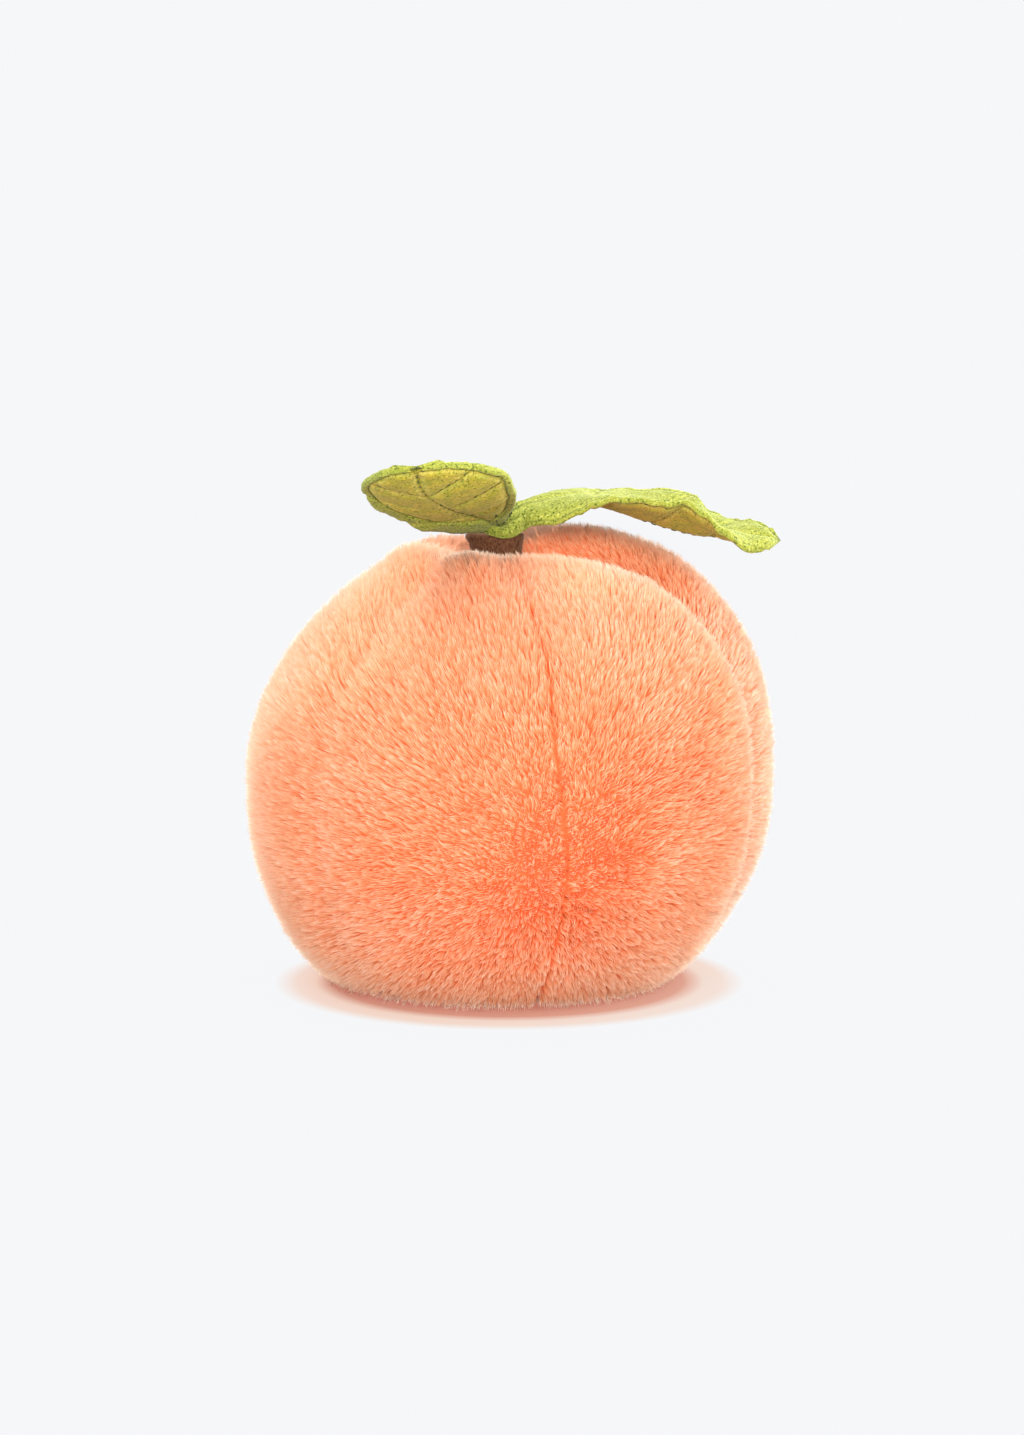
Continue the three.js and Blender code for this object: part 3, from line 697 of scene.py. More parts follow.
# %% [markdown]
# ## Colour of the pile
# Plush looks deepest at its roots, where light bounces from fibre to fibre, and palest at its tips. One flat
# colour would leave all that depth to the shadows, which are weak in soft light. So the colour climbs from
# red-orange to a pale peach along each hair: partly the fibres' own paler ends, partly painted shade that is
# deepest at the roots. A second ramp shifts whole tufts browner or paler, at random and, in places, by
# painted light and shade. A warm sheen gives the bright fuzz that fur shows where it turns away.

# %% Colour of the pile
def pile_material(name, heights, tones, sheen):
    """Colour up the length of each hair (v of its UV), darker at the roots as painted shade, times a tone for
    each tuft (u).
    """
    material, nodes, shader = new_material(name)
    chart = nodes.new("ShaderNodeUVMap")
    chart.uv_map = "OFBake"
    split = nodes.new("ShaderNodeSeparateXYZ")
    wire(material, chart.outputs["UV"], split.inputs["Vector"])
    height = ramp(material, split.outputs["Y"], heights)
    tone = ramp(material, split.outputs["X"], tones)
    wire(material, multiplied(material, height, tone), shader.inputs["Base Color"])
    set_shader(shader, Roughness=0.8, Specular_IOR_Level=0.15,
               Sheen_Weight=sheen, Sheen_Roughness=0.4, Sheen_Tint=(1.0, 0.80, 0.62, 1))
    return material


# The brown end of the tone ramp carries painted shade and its pale end painted light, besides random tone.
peach_pile = pile_material(
    "peach_pile",
    [(0.0, (1.0, 0.17, 0.055)), (0.3, (1.0, 0.23, 0.085)), (0.6, (1.0, 0.33, 0.15)),
     (0.85, (1.0, 0.46, 0.26)), (1.0, (1.0, 0.62, 0.42))],
    [(0.0, (0.26, 0.17, 0.11)), (0.2, (0.84, 0.74, 0.64)), (0.5, (1.0, 1.0, 1.0)), (1.0, (1.0, 1.45, 1.9))],
    0.6,
)
print("pile colours:", peach_pile.name)

# %% The six gores
def furry_piece(name, back, hair):
    """One piece from a backing and its hairs, each given as points, faces, uv and soft normals."""
    points, faces, uv, soft = (np.concatenate([b, h]) for b, h in zip(back, hair))
    faces[len(back[1]):] += len(back[0])
    piece = new_piece(name, points, faces, uv)
    piece.data.normals_split_custom_set_from_vertices(soft.tolist())
    return piece


total = 0
for gore in range(len(SEAMS)):
    piece = furry_piece(f"fur_gore_{gore + 1}", backing(gore), fur(gore))
    hand_over(piece, peach_pile, [f"fur_panel_{gore + 1}"])
    total += len(piece.data.polygons)
print("fur:", total, "triangles")

# %% [markdown]
# ## The stalk
# The stalk is a short stub of brown cloth with a fine nap, sewn shut with a flat round top and stuffed. It
# could be a plain cylinder, but the real one is drawn in at the waist and leans a little. So an outline is
# turned round an axis, and short upright hairs of the same three-sided kind are set all over it.

# %% Outline of the stalk
STALK_PILE, STALK_HAIRS, STALK_HAIR_WIDTH = 1.3, 8000, 0.3
STALK_TOP, STALK_FOOT = stalk_box[1][2] / MM, stalk_box[0][2] / MM - 0.5
STALK_RINGS, STALK_SIDES = 25, 40
STALK_SHOULDER, STALK_WAIST, STALK_TAPER, STALK_FLARE, STALK_LEAN = 1.4, 0.5, 0.2, 0.6, 0.8
STUB_DEPTH, STUB_COLOUR = 0.75, (0.4, 0.1)


def stalk_outline():
    """Radius and height from the foot up over the shoulder to the middle of the top."""
    up = np.linspace(0, 1, 9)
    side = STALK_RADIUS - STALK_WAIST * np.sin(np.pi * up) - STALK_TAPER * (1 - up)
    inner, shoulder_foot = STALK_RADIUS - STALK_SHOULDER, STALK_TOP - STALK_SHOULDER
    height = STALK_FOOT + (shoulder_foot - STALK_FOOT) * up
    bend = np.linspace(0, np.pi / 2, 7)[1:]
    shoulder = inner + STALK_SHOULDER * np.cos(bend), shoulder_foot + STALK_SHOULDER * np.sin(bend)
    flat = np.linspace(inner, 0, 6)[1:]
    return np.r_[side, shoulder[0], flat], np.r_[height, shoulder[1], np.full(5, STALK_TOP)]


def stalk_point(run, turned):
    """Place and outward normal on the stub, run from 0 at the foot to 1 at the middle of the top; and how
    long that run is."""
    radius, height = stalk_outline()
    length = np.r_[0, np.cumsum(np.hypot(np.diff(radius), np.diff(height)))]
    at = run * length[-1]
    r, z = np.interp(at, length, radius), np.interp(at, length, height)
    r1, z1 = np.interp(at + 0.4, length, radius), np.interp(at + 0.4, length, height)
    r0, z0 = np.interp(at - 0.4, length, radius), np.interp(at - 0.4, length, height)
    out, up = z1 - z0, r0 - r1
    ring = np.stack([np.sin(turned), -np.cos(turned), 0 * turned], -1)
    flare = np.clip((z - STALK_FOOT) / (STALK_TOP - STALK_FOOT), 0, 1) * np.clip(r / STALK_RADIUS, 0, 1)
    middle = np.stack([STALK_X - STALK_LEAN * flare, 0 * z, z], -1)
    place = ring * (r + STALK_FLARE * flare)[..., None] + middle + offset
    normal = unit(ring * out[..., None] + np.array([0, 0, 1.0]) * up[..., None])
    return place, normal, length[-1]


print("stalk outline:", round(stalk_point(np.zeros(1), np.zeros(1))[2], 1), "mm from foot to middle of top")


# %% Nap and stub
NAP_OUT, NAP_UP, NAP_TUFT, NAP_SPREAD = 0.75, 1.6, 0.22, 0.16
NAP_LENGTH, NAP_TUFT_TONE, NAP_TONE = (0.8, 1.25), 0.2, 0.12


def stalk_pile():
    """Short upright hairs all over the stub, thinned towards the middle of its top."""
    pick = np.random.default_rng(300)
    run = pick.uniform(0, 1, STALK_HAIRS * 2)
    place, normal = stalk_point(run, pick.uniform(0, 2 * np.pi, STALK_HAIRS * 2))[:2]
    reach = np.hypot(place[:, 0] - STALK_X - offset[0], place[:, 1] - offset[1])
    keep = pick.uniform(0, STALK_RADIUS, STALK_HAIRS * 2) < reach
    place, normal = place[keep], normal[keep]
    count = len(place)
    up = unit(np.array([0, 0, 1.0]) - normal * normal[:, 2:3] + 1e-6)
    root = place - normal * STUB_DEPTH
    clump = nearest_clump(place, place[: count // CLUMP])
    tuft = pick.normal(0, 1, (count // CLUMP, 3))[clump]
    way = normal * NAP_OUT + up * NAP_UP + NAP_TUFT * tuft
    way = unit(way + pick.normal(0, NAP_SPREAD, (count, 3)))
    tip = root + way * (STALK_PILE * pick.uniform(*NAP_LENGTH, count))[:, None]
    tone = 0.5 + NAP_TUFT_TONE * tuft[:, 0] + NAP_TONE * pick.normal(size=count)
    return spikes(root, tip, normal, STALK_HAIR_WIDTH, tone, pick)


def stalk_backing():
    """The stub under the pile, closed at its foot and its top."""
    run = np.linspace(0, 1, STALK_RINGS, endpoint=False)
    run, turned = np.meshgrid(run, np.arange(STALK_SIDES) * 2 * np.pi / STALK_SIDES, indexing="ij")
    place, normal = stalk_point(run, turned)[:2]
    place = place - normal * STUB_DEPTH
    middle = np.array([STALK_X, 0, 0]) + offset
    ends = np.array([middle + [0, 0, STALK_FOOT], middle + [0, 0, STALK_TOP - STUB_DEPTH]])
    points = np.concatenate([place.reshape(-1, 3), ends])
    soft = np.concatenate([normal.reshape(-1, 3), [[0, 0, -1.0], [0, 0, 1.0]]])
    return points, turned_faces(*run.shape), np.full((len(points), 2), STUB_COLOUR), soft


# As on the pile, the stalk's darker roots, and the stub's colour low on this ramp, are partly painted shade.
stalk_brown = pile_material(
    "stalk_brown",
    [(0.0, (0.07, 0.022, 0.010)), (0.5, (0.15, 0.055, 0.024)), (1.0, (0.30, 0.14, 0.065))],
    [(0.0, (0.45, 0.40, 0.38)), (0.5, (0.9, 0.9, 0.9)), (1.0, (1.0, 1.0, 1.0))],
    0.15,
)
stalk = furry_piece("stalk_pile_cover", stalk_backing(), stalk_pile())
hand_over(stalk, stalk_brown, ["stalk_cover", "stalk_stuffing"])
print("stalk:", len(stalk.data.polygons), "triangles")


# %% [markdown]
# ## Shape of the leaves
# Each leaf is two layers of cloth with thin wadding between, quilted along a rib and side veins. Sewing
# makes it curl. It could be bent with a lattice, but a formula is easier to fit piece to piece: a rib is
# drawn through a few points, and at keys along it each half gets a lift, a curl, a width and a hem. Every
# layer of the leaf, and every stitch, then reads its place from the same surface.

# %% Leaf shape, in millimetres
LEAF_HALF_WIDTH = 21.0
LEFT_NECK, RIGHT_NECK = 4.2, 7.5
LEAF_BLUNTNESS, LEAF_FULLNESS, LEAF_TIP_SHARE = 0.68, 1.3, 0.985
HEM_CLOSING = 0.03
LEFT_RIB = [(-3.2, -4, 124), (-6.4, -13, 126.6), (-10.5, -23, 129), (-16.6, -37, 131.9), (-21.5, -50, 135.9),
            (-23.6, -58, 139.8), (-24.2, -65, 144.5)]
# Keys: t, then lift and curl of the + half, lift and curl of the - half, width share of the - half, hems.
LIFT, CURL, MINUS_LIFT, MINUS_CURL, MINUS_SHARE, HEM, MINUS_HEM = range(1, 8)
LEFT_KEYS = [(0, -25, 0, 50, 0, 1, 9.0, 2.6), (0.15, -22, 0, 30, 0, 0.9, 12.0, 3.4),
             (0.3, -18, 8, 18, 8, 0.86, 9.5, 3.2), (0.5, -8, 15, 12, 12, 0.9, 5.5, 2.4),
             (0.7, -2, 18, 16, 12, 1, 2.8, 1.9), (0.85, 0, 15, 20, 10, 1, 1.9, 1.9),
             (1, 4, 0, 18, 0, 1, 1.9, 1.9)]
RIGHT_RIB = [(-4.6, 1.0, 125.6), (1.0, 0.2, 128.2), (7.0, 0, 129.8), (17.6, 2, 131.2), (26.5, 3, 129),
             (37.4, 4, 125), (48.2, 3, 122), (56.8, 2, 121.2), (73.8, 0, 119.6)]
RIGHT_KEYS = [(0, -72, 0, 12, 0, 0.6, 0.8, 1.6), (0.08, -62, 0, 8, 0, 0.8, 0.8, 1.6),
              (0.16, -36, 0, 3, 0, 1, 0.8, 1.6), (0.26, -12, -5, 1, 0, 1, 0.8, 1.6),
              (0.32, 0, -5, 3, 0, 1, 1.6, 1.6), (0.38, 10, -3, 7, 0, 1, 1.6, 1.6),
              (0.48, 15, 0, 15, 0, 1, 1.6, 1.6), (0.58, 20, 0, 22, 0, 1, 1.6, 1.6),
              (0.66, 27, 0, 23, 0, 1, 1.6, 1.6), (0.74, 21, 0, 12, 0, 1, 1.6, 1.6),
              (0.8, 8, 0, 9, 0, 1, 1.6, 1.6), (0.9, -12, 0, 16, 0, 1, 1.6, 1.6),
              (1, -12, 0, 16, 0, 1, 1.6, 1.6)]
VEINS = [(0.33, 0.40), (0.55, 0.66), (0.76, 0.86)]
# Half the leaf's thickness in a seam, what a puff adds to it, how soon it does, and the rim's rounding.
SEAM_HALF, PUFF_HEIGHT, PUFF_REACH, RIM_ROUNDING = 0.75, 1.05, 1.8, 1.2
print("keys on the leaves:", len(LEFT_KEYS), "and", len(RIGHT_KEYS))


# %% A smooth curve
def curve(points, t):
    """A smooth curve through the points, t from 0 to 1."""
    points = np.asarray(points, float)
    last = len(points) - 1
    x = np.clip(t, 0, 1) * last
    i = np.minimum(x.astype(int), last - 1)
    f = (x - i)[..., None]
    p = np.vstack([2 * points[0] - points[1], points, 2 * points[-1] - points[-2]])
    a, b, c, d = p[i], p[i + 1], p[i + 2], p[i + 3]
    return 0.5 * (2 * b + (c - a) * f + (2 * a - 5 * b + 4 * c - d) * f**2 + (3 * b - a - 3 * c + d) * f**3)


print("halfway along the left rib:", curve(LEFT_RIB, np.full(1, 0.5))[0].round(1))


# %% The leaf's surface
class Leaf:
    """A leaf's middle surface: a bent rib, and two halves that lift and curl away from it."""

    def __init__(self, rib, keys, neck, hem_start):
        fine = curve(rib, np.linspace(0, 1, 400))
        run = np.r_[0, np.cumsum(np.linalg.norm(np.diff(fine, axis=0), axis=1))]
        self.length = run[-1]
        self.share, self.fine = run / run[-1], fine
        self.keys, self.neck, self.hem_start = np.asarray(keys, float), neck, hem_start
        self.hem_end = 1 - self.keys[-1, HEM] / self.length

    def rib(self, t):
        """Points of the rib."""
        return np.stack([np.interp(t, self.share, self.fine[:, k]) for k in range(3)], -1)

    def keyed(self, column, t):
        """One column of the keys, eased from key to key."""
        keys = self.keys
        i = np.clip(np.searchsorted(keys[:, 0], t, side="right") - 1, 0, len(keys) - 2)
        f = ease((t - keys[i, 0]) / (keys[i + 1, 0] - keys[i, 0]))
        return keys[i, column] * (1 - f) + keys[i + 1, column] * f

    def half(self, t, plus):
        """Width of the + half, or of the - half, at t along the rib."""
        bulge = np.clip(np.sin(np.pi * np.clip(t, 0, 1) ** LEAF_FULLNESS), 0, 1) ** LEAF_BLUNTNESS
        share = np.where(plus, 1, self.keyed(MINUS_SHARE, t))
        neck = self.neck * share * (1 - t) * np.sqrt(np.clip((t + 0.008) / 0.07, 0, 1))
        return np.maximum(LEAF_HALF_WIDTH * bulge * share, neck)

    def surface(self, t, w):
        """Place and upward normal at t along the rib and w, from -1 to 1, across it."""
        t, w = np.broadcast_arrays(np.asarray(t, float) * LEAF_TIP_SHARE, np.asarray(w, float))
        step = 0.02
        rib = self.rib(t)
        along = unit(self.rib(np.clip(t + step, 0, 1)) - self.rib(np.clip(t - step, 0, 1)))
        beside = unit(np.cross(along, [0.0, 0.0, 1.0]))
        above = np.cross(beside, along)
        plus = w >= 0
        reach = np.abs(w) * self.half(t, plus)
        lift = np.radians(np.where(plus, self.keyed(LIFT, t), self.keyed(MINUS_LIFT, t)))
        bend = np.radians(np.where(plus, self.keyed(CURL, t), self.keyed(MINUS_CURL, t))) / LEAF_HALF_WIDTH
        bend = np.where(np.abs(bend) < 1e-5, 1e-5, bend)
        turned = lift + bend * reach
        out = (np.sin(turned) - np.sin(lift)) / bend * np.where(plus, 1, -1)
        rise = (np.cos(lift) - np.cos(turned)) / bend
        place = rib + beside * out[..., None] + above * rise[..., None]
        tilt = np.where(plus, 1, -1) * np.sin(turned)
        return place + offset, unit(above * np.cos(turned)[..., None] - beside * tilt[..., None])

    def hem(self, t, plus):
        """Distance from the outline to the hem stitches."""
        return np.where(plus, self.keyed(HEM, t), self.keyed(MINUS_HEM, t))

    def hem_share(self, t, plus, overlap=0.0):
        """How far across a half, from 0 to 1, the hem stitches are."""
        away = self.hem(t, plus) - overlap
        beyond = overlap / self.length
        closing = np.sqrt(np.clip((self.hem_end + beyond - t) / HEM_CLOSING, 0, 1))
        closing = closing * np.sqrt(np.clip((t - self.hem_start + beyond) / 0.05, 0, 1))
        return closing * self.hem_line(t, plus, away)

    def hem_line(self, t, plus, away):
        """The share across a half that is this far from the outline."""
        return np.clip(1 - away / np.maximum(self.half(t * LEAF_TIP_SHARE, plus), 0.1), 0, 1)

    def border_gap(self, t, w):
        """Distance to the outline."""
        across = (1 - np.abs(w)) * self.half(t * LEAF_TIP_SHARE, w >= 0)
        return np.minimum(across, 0.9 * (1 - t) * self.length + 0.4)

    def stitch_gap(self, t, w):
        """Distance to the nearest line of stitches."""
        plus = w >= 0
        half = self.half(t * LEAF_TIP_SHARE, plus)
        gap = np.minimum(np.abs(w) * half, np.abs(np.abs(w) - self.hem_share(t, plus)) * half)
        line = np.maximum(self.hem_line(t, plus, self.hem(t, plus)), 0.01)
        round_tip = self.hem_end - HEM_CLOSING * np.minimum(np.abs(w) / line, 1) ** 2
        at_tip = np.minimum(gap, np.abs(t - round_tip) * self.length)
        gap = np.where(t > self.hem_end - HEM_CLOSING, at_tip, gap)
        for start, end in VEINS:
            slope = (end - start) * self.length / np.maximum(half, 1)
            away = np.abs(t - start - (end - start) * np.abs(w)) * self.length / np.hypot(1, slope)
            gap = np.minimum(gap, away)
        return gap

    def half_thickness(self, t, w):
        """Half the thickness of the quilted leaf."""
        edge = np.clip(self.border_gap(t, w) / RIM_ROUNDING, 0, 1)
        rounded = np.sqrt(np.clip(1 - (1 - edge) ** 2, 0, 1))
        puffed = 1 - np.exp(-((self.stitch_gap(t, w) / PUFF_REACH) ** 1.4))
        neck = 1 - 0.2 * ease(1 - t / 0.12)
        return rounded * (SEAM_HALF + PUFF_HEIGHT * puffed) * neck

    def cloth(self, t, w, side):
        """Points of the cloth, above the middle surface where side is 1 and below it where side is -1."""
        place, above = self.surface(t, w)
        pucker = np.exp(-((self.stitch_gap(t, w) / PUFF_REACH) ** 2))
        nap = 0.05 * waves(place, 1.6, 8, 31) + 0.04 * waves(place, 0.9, 8, 32)
        nap = nap + 0.13 * pucker * waves(place, 2.6, 6, 33) + 0.10 * waves(place, 5, 5, 34)
        thick = self.half_thickness(t, w)
        return place + above * (side * (thick + nap * np.clip(thick, 0, 1)))[..., None]


leaves = {
    "left": Leaf(LEFT_RIB, LEFT_KEYS, LEFT_NECK, hem_start=0.15),
    "right": Leaf(RIGHT_RIB, RIGHT_KEYS, RIGHT_NECK, hem_start=-0.1),
}
print("leaf lengths:", {name: round(leaf.length, 1) for name, leaf in leaves.items()})

# %% [markdown]
# ## Cloth of the leaves
# The green top cloth is cut larger than the leaf, folded round the rim and sewn down underneath as a hem.
# The olive cloth fills the space inside the hem. So the top piece has extra columns that wrap round the
# edge, and the under piece tucks a little way below it. Cloth simulation would smooth away the channels
# that the stitches pull in, so the puffs are shaped in code and Solidify gives the cloth its thickness.

# %% Sheets of cloth
def closed_sheet(name, front, back):
    """A piece from two grids of points, front and back, joined round their edge."""
    return new_piece(name, np.concatenate([front, back]).reshape(-1, 3), pad_faces(*front.shape[:2]))


def store_groove(piece, gap):
    """Keeps each point's distance from the nearest seam, up to GROOVE_REACH, for the finish to read."""
    layer = piece.data.attributes.new("groove", "FLOAT", "POINT")
    layer.data.foreach_set("value", np.clip(gap / GROOVE_REACH, 0, 1).astype(np.float32).ravel())


LEAF_ROWS, LEAF_COLUMNS, WRAP_COLUMNS, WADDING_COLUMNS = 120, 64, 5, 21
# The last rows give way to one point that closes the tip.
TIP_ROWS = 5
END_CROWDING = 0.035
GROOVE_REACH = 3.0
HEM_OVERLAP, UNDER_SINK = 0.5, 0.93
CLOTH_THICKNESS, CLOTH_WELD = 0.45 * MM, 0.02 * MM
WADDING_SHARE, WADDING_INSET, WADDING_THINNEST = 0.9, 0.75, 0.06


def leaf_rows():
    """Rows along the leaf, closer together at its two ends."""
    s = np.linspace(0, 1, LEAF_ROWS)
    return (s - END_CROWDING * np.sin(2 * np.pi * s))[:, None]


print("leaf grid:", LEAF_ROWS, "rows and", LEAF_COLUMNS + 2 * WRAP_COLUMNS, "columns")


# %% Cut of the two cloths
def top_cloth(leaf):
    """Where the top cloth runs: over the whole leaf, round the rim and under it to the hem stitches."""
    t = np.vstack([leaf_rows()[:-TIP_ROWS], [[1.0]]])
    s = np.linspace(-1, 1, LEAF_COLUMNS)[None, :]
    over = np.broadcast_to(np.sin(s * np.pi / 2) * 0.35 + s * 0.65, (len(t), LEAF_COLUMNS))
    wrap = np.linspace(0, 1, WRAP_COLUMNS, endpoint=False)[None, :]
    inner = [leaf.hem_share(t, plus) for plus in (False, True)]
    left = -(inner[0] + (1 - inner[0]) * wrap)
    right = (inner[1] + (1 - inner[1]) * wrap)[:, ::-1]
    side = np.tile(np.r_[-np.ones(WRAP_COLUMNS), np.ones(LEAF_COLUMNS), -np.ones(WRAP_COLUMNS)], (len(t), 1))
    w = np.concatenate([left, over, right], 1)
    w[-1], side[-1] = 0, 0
    return t, w, side


def under_cloth(leaf):
    """Where the under cloth runs: inside the hem stitches, and a little way under the turned hem."""
    beyond = HEM_OVERLAP / leaf.length
    first, last = max(leaf.hem_start - beyond, 0), leaf.hem_end + beyond
    t = first + (last - first) * leaf_rows()
    s = np.linspace(-1, 1, LEAF_COLUMNS)[None, :]
    return t, s * leaf.hem_share(t, s >= 0, HEM_OVERLAP), -UNDER_SINK


print("the top cloth ends", round((1 - leaves["left"].hem_end) * leaves["left"].length, 1), "mm past its hem")


# %% Sewing the layers
def cloth_piece(name, leaf, layout, flip):
    """A sheet of cloth over one side of the leaf. Its groove attribute is the distance from the stitches."""
    t, w, side = layout
    grid = leaf.cloth(t, w, side)
    rows, columns = grid.shape[:2]
    piece = new_piece(name, grid.reshape(-1, 3), grid_faces(rows, columns, flip))
    store_groove(piece, leaf.stitch_gap(t, w))
    bpy.context.view_layer.objects.active = piece
    weld = piece.modifiers.new("seams", "WELD")
    weld.merge_threshold = CLOTH_WELD
    bpy.ops.object.modifier_apply(modifier=weld.name)
    thick = piece.modifiers.new("cloth", "SOLIDIFY")
    thick.thickness = CLOTH_THICKNESS
    thick.offset = -1
    bpy.ops.object.modifier_apply(modifier=thick.name)
    return piece


def wadding_piece(name, leaf):
    """The thin quilt between the two cloths, closed all round."""
    t = leaf_rows()[3:-3:3]
    across = np.linspace(-WADDING_SHARE, WADDING_SHARE, WADDING_COLUMNS)[None, :]
    w = np.broadcast_to(across, (len(t), WADDING_COLUMNS))
    place, above = leaf.surface(t, w)
    rounded = np.sqrt(np.clip(1.02 - (w / WADDING_SHARE) ** 4, 0.02, 1))
    half = np.maximum(leaf.half_thickness(t, w) - WADDING_INSET, WADDING_THINNEST) * rounded
    return closed_sheet(name, place + above * half[..., None], place - above * half[..., None])


print("layers of a leaf: top cloth, wadding, under cloth")

# %% [markdown]
# ## Finish of the leaf cloth
# The real cloth is a short-napped velour: pale and dark flecks smaller than a millimetre, over a green
# that drifts in patches. Cloth beside a seam stands up in a ridge, and a painted highlight makes it pale
# there;
# in the seam itself painted shade makes it dark. A painted image could hold those lines, but it would blur up
# close. So the distance to the nearest stitch is stored on the mesh, and a ramp reads it.

# %% Finish of the leaf cloth
FLECK_SCALE = 1700


def speckled_cloth(name, light, middle, dark, shade_tint, patch_scale, ridge, sheen_tint):
    """Short-napped cloth: pale and dark flecks over a base that drifts in patches, painted shade in the seams
    and a painted highlight beside them, with a soft bump.
    """
    material, nodes, shader = new_material(name)
    flecks = noise(material, FLECK_SCALE)
    speckled = ramp(material, flecks, [(0.34, dark), (0.43, middle), (0.55, middle), (0.68, light)])
    drift = ramp(material, noise(material, patch_scale, 3), [(0.35, shade_tint), (0.65, (1.0, 1.0, 1.0))])
    groove = nodes.new("ShaderNodeAttribute")
    groove.attribute_name = "groove"
    # Painted shade in the seams and a painted highlight on the ridges beside them.
    seam_shade_and_ridge_highlight = ramp(material, groove.outputs["Fac"], [
        (0.0, (0.60, 0.62, 0.56)), (0.08, (0.85, 0.86, 0.80)), (0.20, ridge), (0.36, ridge),
        (0.65, (1.0, 1.0, 1.0)),
    ])
    flecked_and_painted = multiplied(material, multiplied(material, speckled, drift), seam_shade_and_ridge_highlight)
    wire(material, flecked_and_painted, shader.inputs["Base Color"])
    raised(material, shader, flecks, 0.6, 0.3 * MM)
    set_shader(shader, Roughness=0.9, Specular_IOR_Level=0.15,
               Sheen_Weight=0.2, Sheen_Roughness=0.5, Sheen_Tint=(*sheen_tint, 1))
    return material


top_green = speckled_cloth("leaf_green", (0.39, 0.40, 0.085), (0.24, 0.255, 0.036), (0.045, 0.08, 0.010),
                           (0.88, 0.92, 0.80), 170, (1.22, 1.18, 1.15), (0.9, 1.0, 0.5))
under_olive = speckled_cloth("leaf_olive", (0.52, 0.395, 0.058), (0.39, 0.302, 0.031), (0.12, 0.12, 0.010),
                             (0.68, 0.84, 0.66), 330, (1.18, 1.22, 2.0), (1.0, 0.9, 0.4))
print("leaf cloths:", top_green.name, "and", under_olive.name)

# %% [markdown]
# ## Stitches
# A sewing machine leaves short straight stitches with a gap between, and each one dips into the cloth at
# both ends. One curve along the whole seam would look like a wire, so every stitch is its own small tube,
# laid on the surface of the leaf and bent down at its ends. There are hundreds, so each has few faces.

# %% Lines of stitches
STITCH, STITCH_GAP = 2.1, 0.7
RIB_THREAD, VEIN_THREAD, HEM_THREAD, TACK_THREAD = 0.36, 0.22, 0.2, 0.5
RIB_START, RIB_END = {"left": 0.26, "right": 0.34}, 0.975
STITCH_SINK = 0.08
VEIN_REACH, HEM_FROM = 0.92, 0.28


def stitch_runs(name, leaf):
    """Lines of stitches as (t, w) paths: the rib, the side veins, the hem, and the tacks at the base."""
    s = np.linspace(0, 1, 400)
    start = RIB_START[name]
    yield start + (RIB_END - start) * s, 0 * s, RIB_THREAD
    for start, end in VEINS:
        for half in (-1, 1):
            yield start + (end - start) * s * VEIN_REACH, half * s * VEIN_REACH, VEIN_THREAD
    along = HEM_FROM + (leaf.hem_end - HEM_FROM) * (1 - (1 - s) ** 2)
    yield along, leaf.hem_share(along, True), HEM_THREAD
    yield along, -leaf.hem_share(along, False), HEM_THREAD
    if name == "left":
        yield 0.26 - 0.25 * s, -0.45 + 0.40 * s, TACK_THREAD
        yield 0.16 - 0.15 * s, -0.90 + 0.80 * s**3, TACK_THREAD


print("seams on each leaf:", {name: len(list(stitch_runs(name, leaf))) for name, leaf in leaves.items()})


# %% Stitches as small tubes
STITCH_RINGS, STITCH_SIDES = 5, 6
STITCH_DIP = np.array([-0.5, 0.05, 0.12, 0.05, -0.5])
last_ring = (STITCH_RINGS - 1) * STITCH_SIDES
STITCH_FACES = np.concatenate([
    tube_faces(STITCH_RINGS, STITCH_SIDES),
    [(3, 2, 1, 0), (5, 4, 3, 0)],
    np.array([(0, 1, 2, 3), (0, 3, 4, 5)]) + last_ring,
])


def stitches(name, leaf, side):
    """Points and faces of every stitch on one side of a leaf."""
    angle = (np.arange(STITCH_SIDES) * 2 * np.pi / STITCH_SIDES)[None, :, None]
    points = []
    for t, w, thread in stitch_runs(name, leaf):
        place, above = leaf.surface(t, w)
        lie = place + above * (side * (leaf.half_thickness(t, w) - STITCH_SINK))[:, None]
        run = np.r_[0, np.cumsum(np.linalg.norm(np.diff(lie, axis=0), axis=1))]
        for begin in np.arange(0.4, run[-1] - STITCH, STITCH + STITCH_GAP):
            at = begin + STITCH * np.linspace(0, 1, STITCH_RINGS)
            line = np.stack([np.interp(at, run, lie[:, k]) for k in range(3)], -1)
            up = side * unit(np.stack([np.interp(at, run, above[:, k]) for k in range(3)], -1))
            line = line + up * STITCH_DIP[:, None]
            ahead = unit(np.gradient(line, axis=0))
            across = unit(np.cross(ahead, up))
            lift = np.cross(across, ahead)
            ring = across[:, None] * np.cos(angle) + lift[:, None] * np.sin(angle)
            points.append((line[:, None] + ring * thread / 2).reshape(-1, 3))
    made = np.arange(len(points))[:, None, None] * STITCH_RINGS * STITCH_SIDES
    return np.concatenate(points), (STITCH_FACES + made).reshape(-1, 4)


print("faces in the left leaf's upper stitches:", len(stitches("left", leaves["left"], 1)[1]))


# %% Finish of the thread
def thread_material():
    """Dark green cotton; the fine noise stands for its twist."""
    material, _, shader = new_material("green_thread")
    twist = ramp(material, noise(material, 2500), [(0.35, (0.03, 0.05, 0.01)), (0.65, (0.09, 0.12, 0.025))])
    wire(material, twist, shader.inputs["Base Color"])
    set_shader(shader, Roughness=0.6)
    return material


green_thread = thread_material()
print("thread:", green_thread.name)


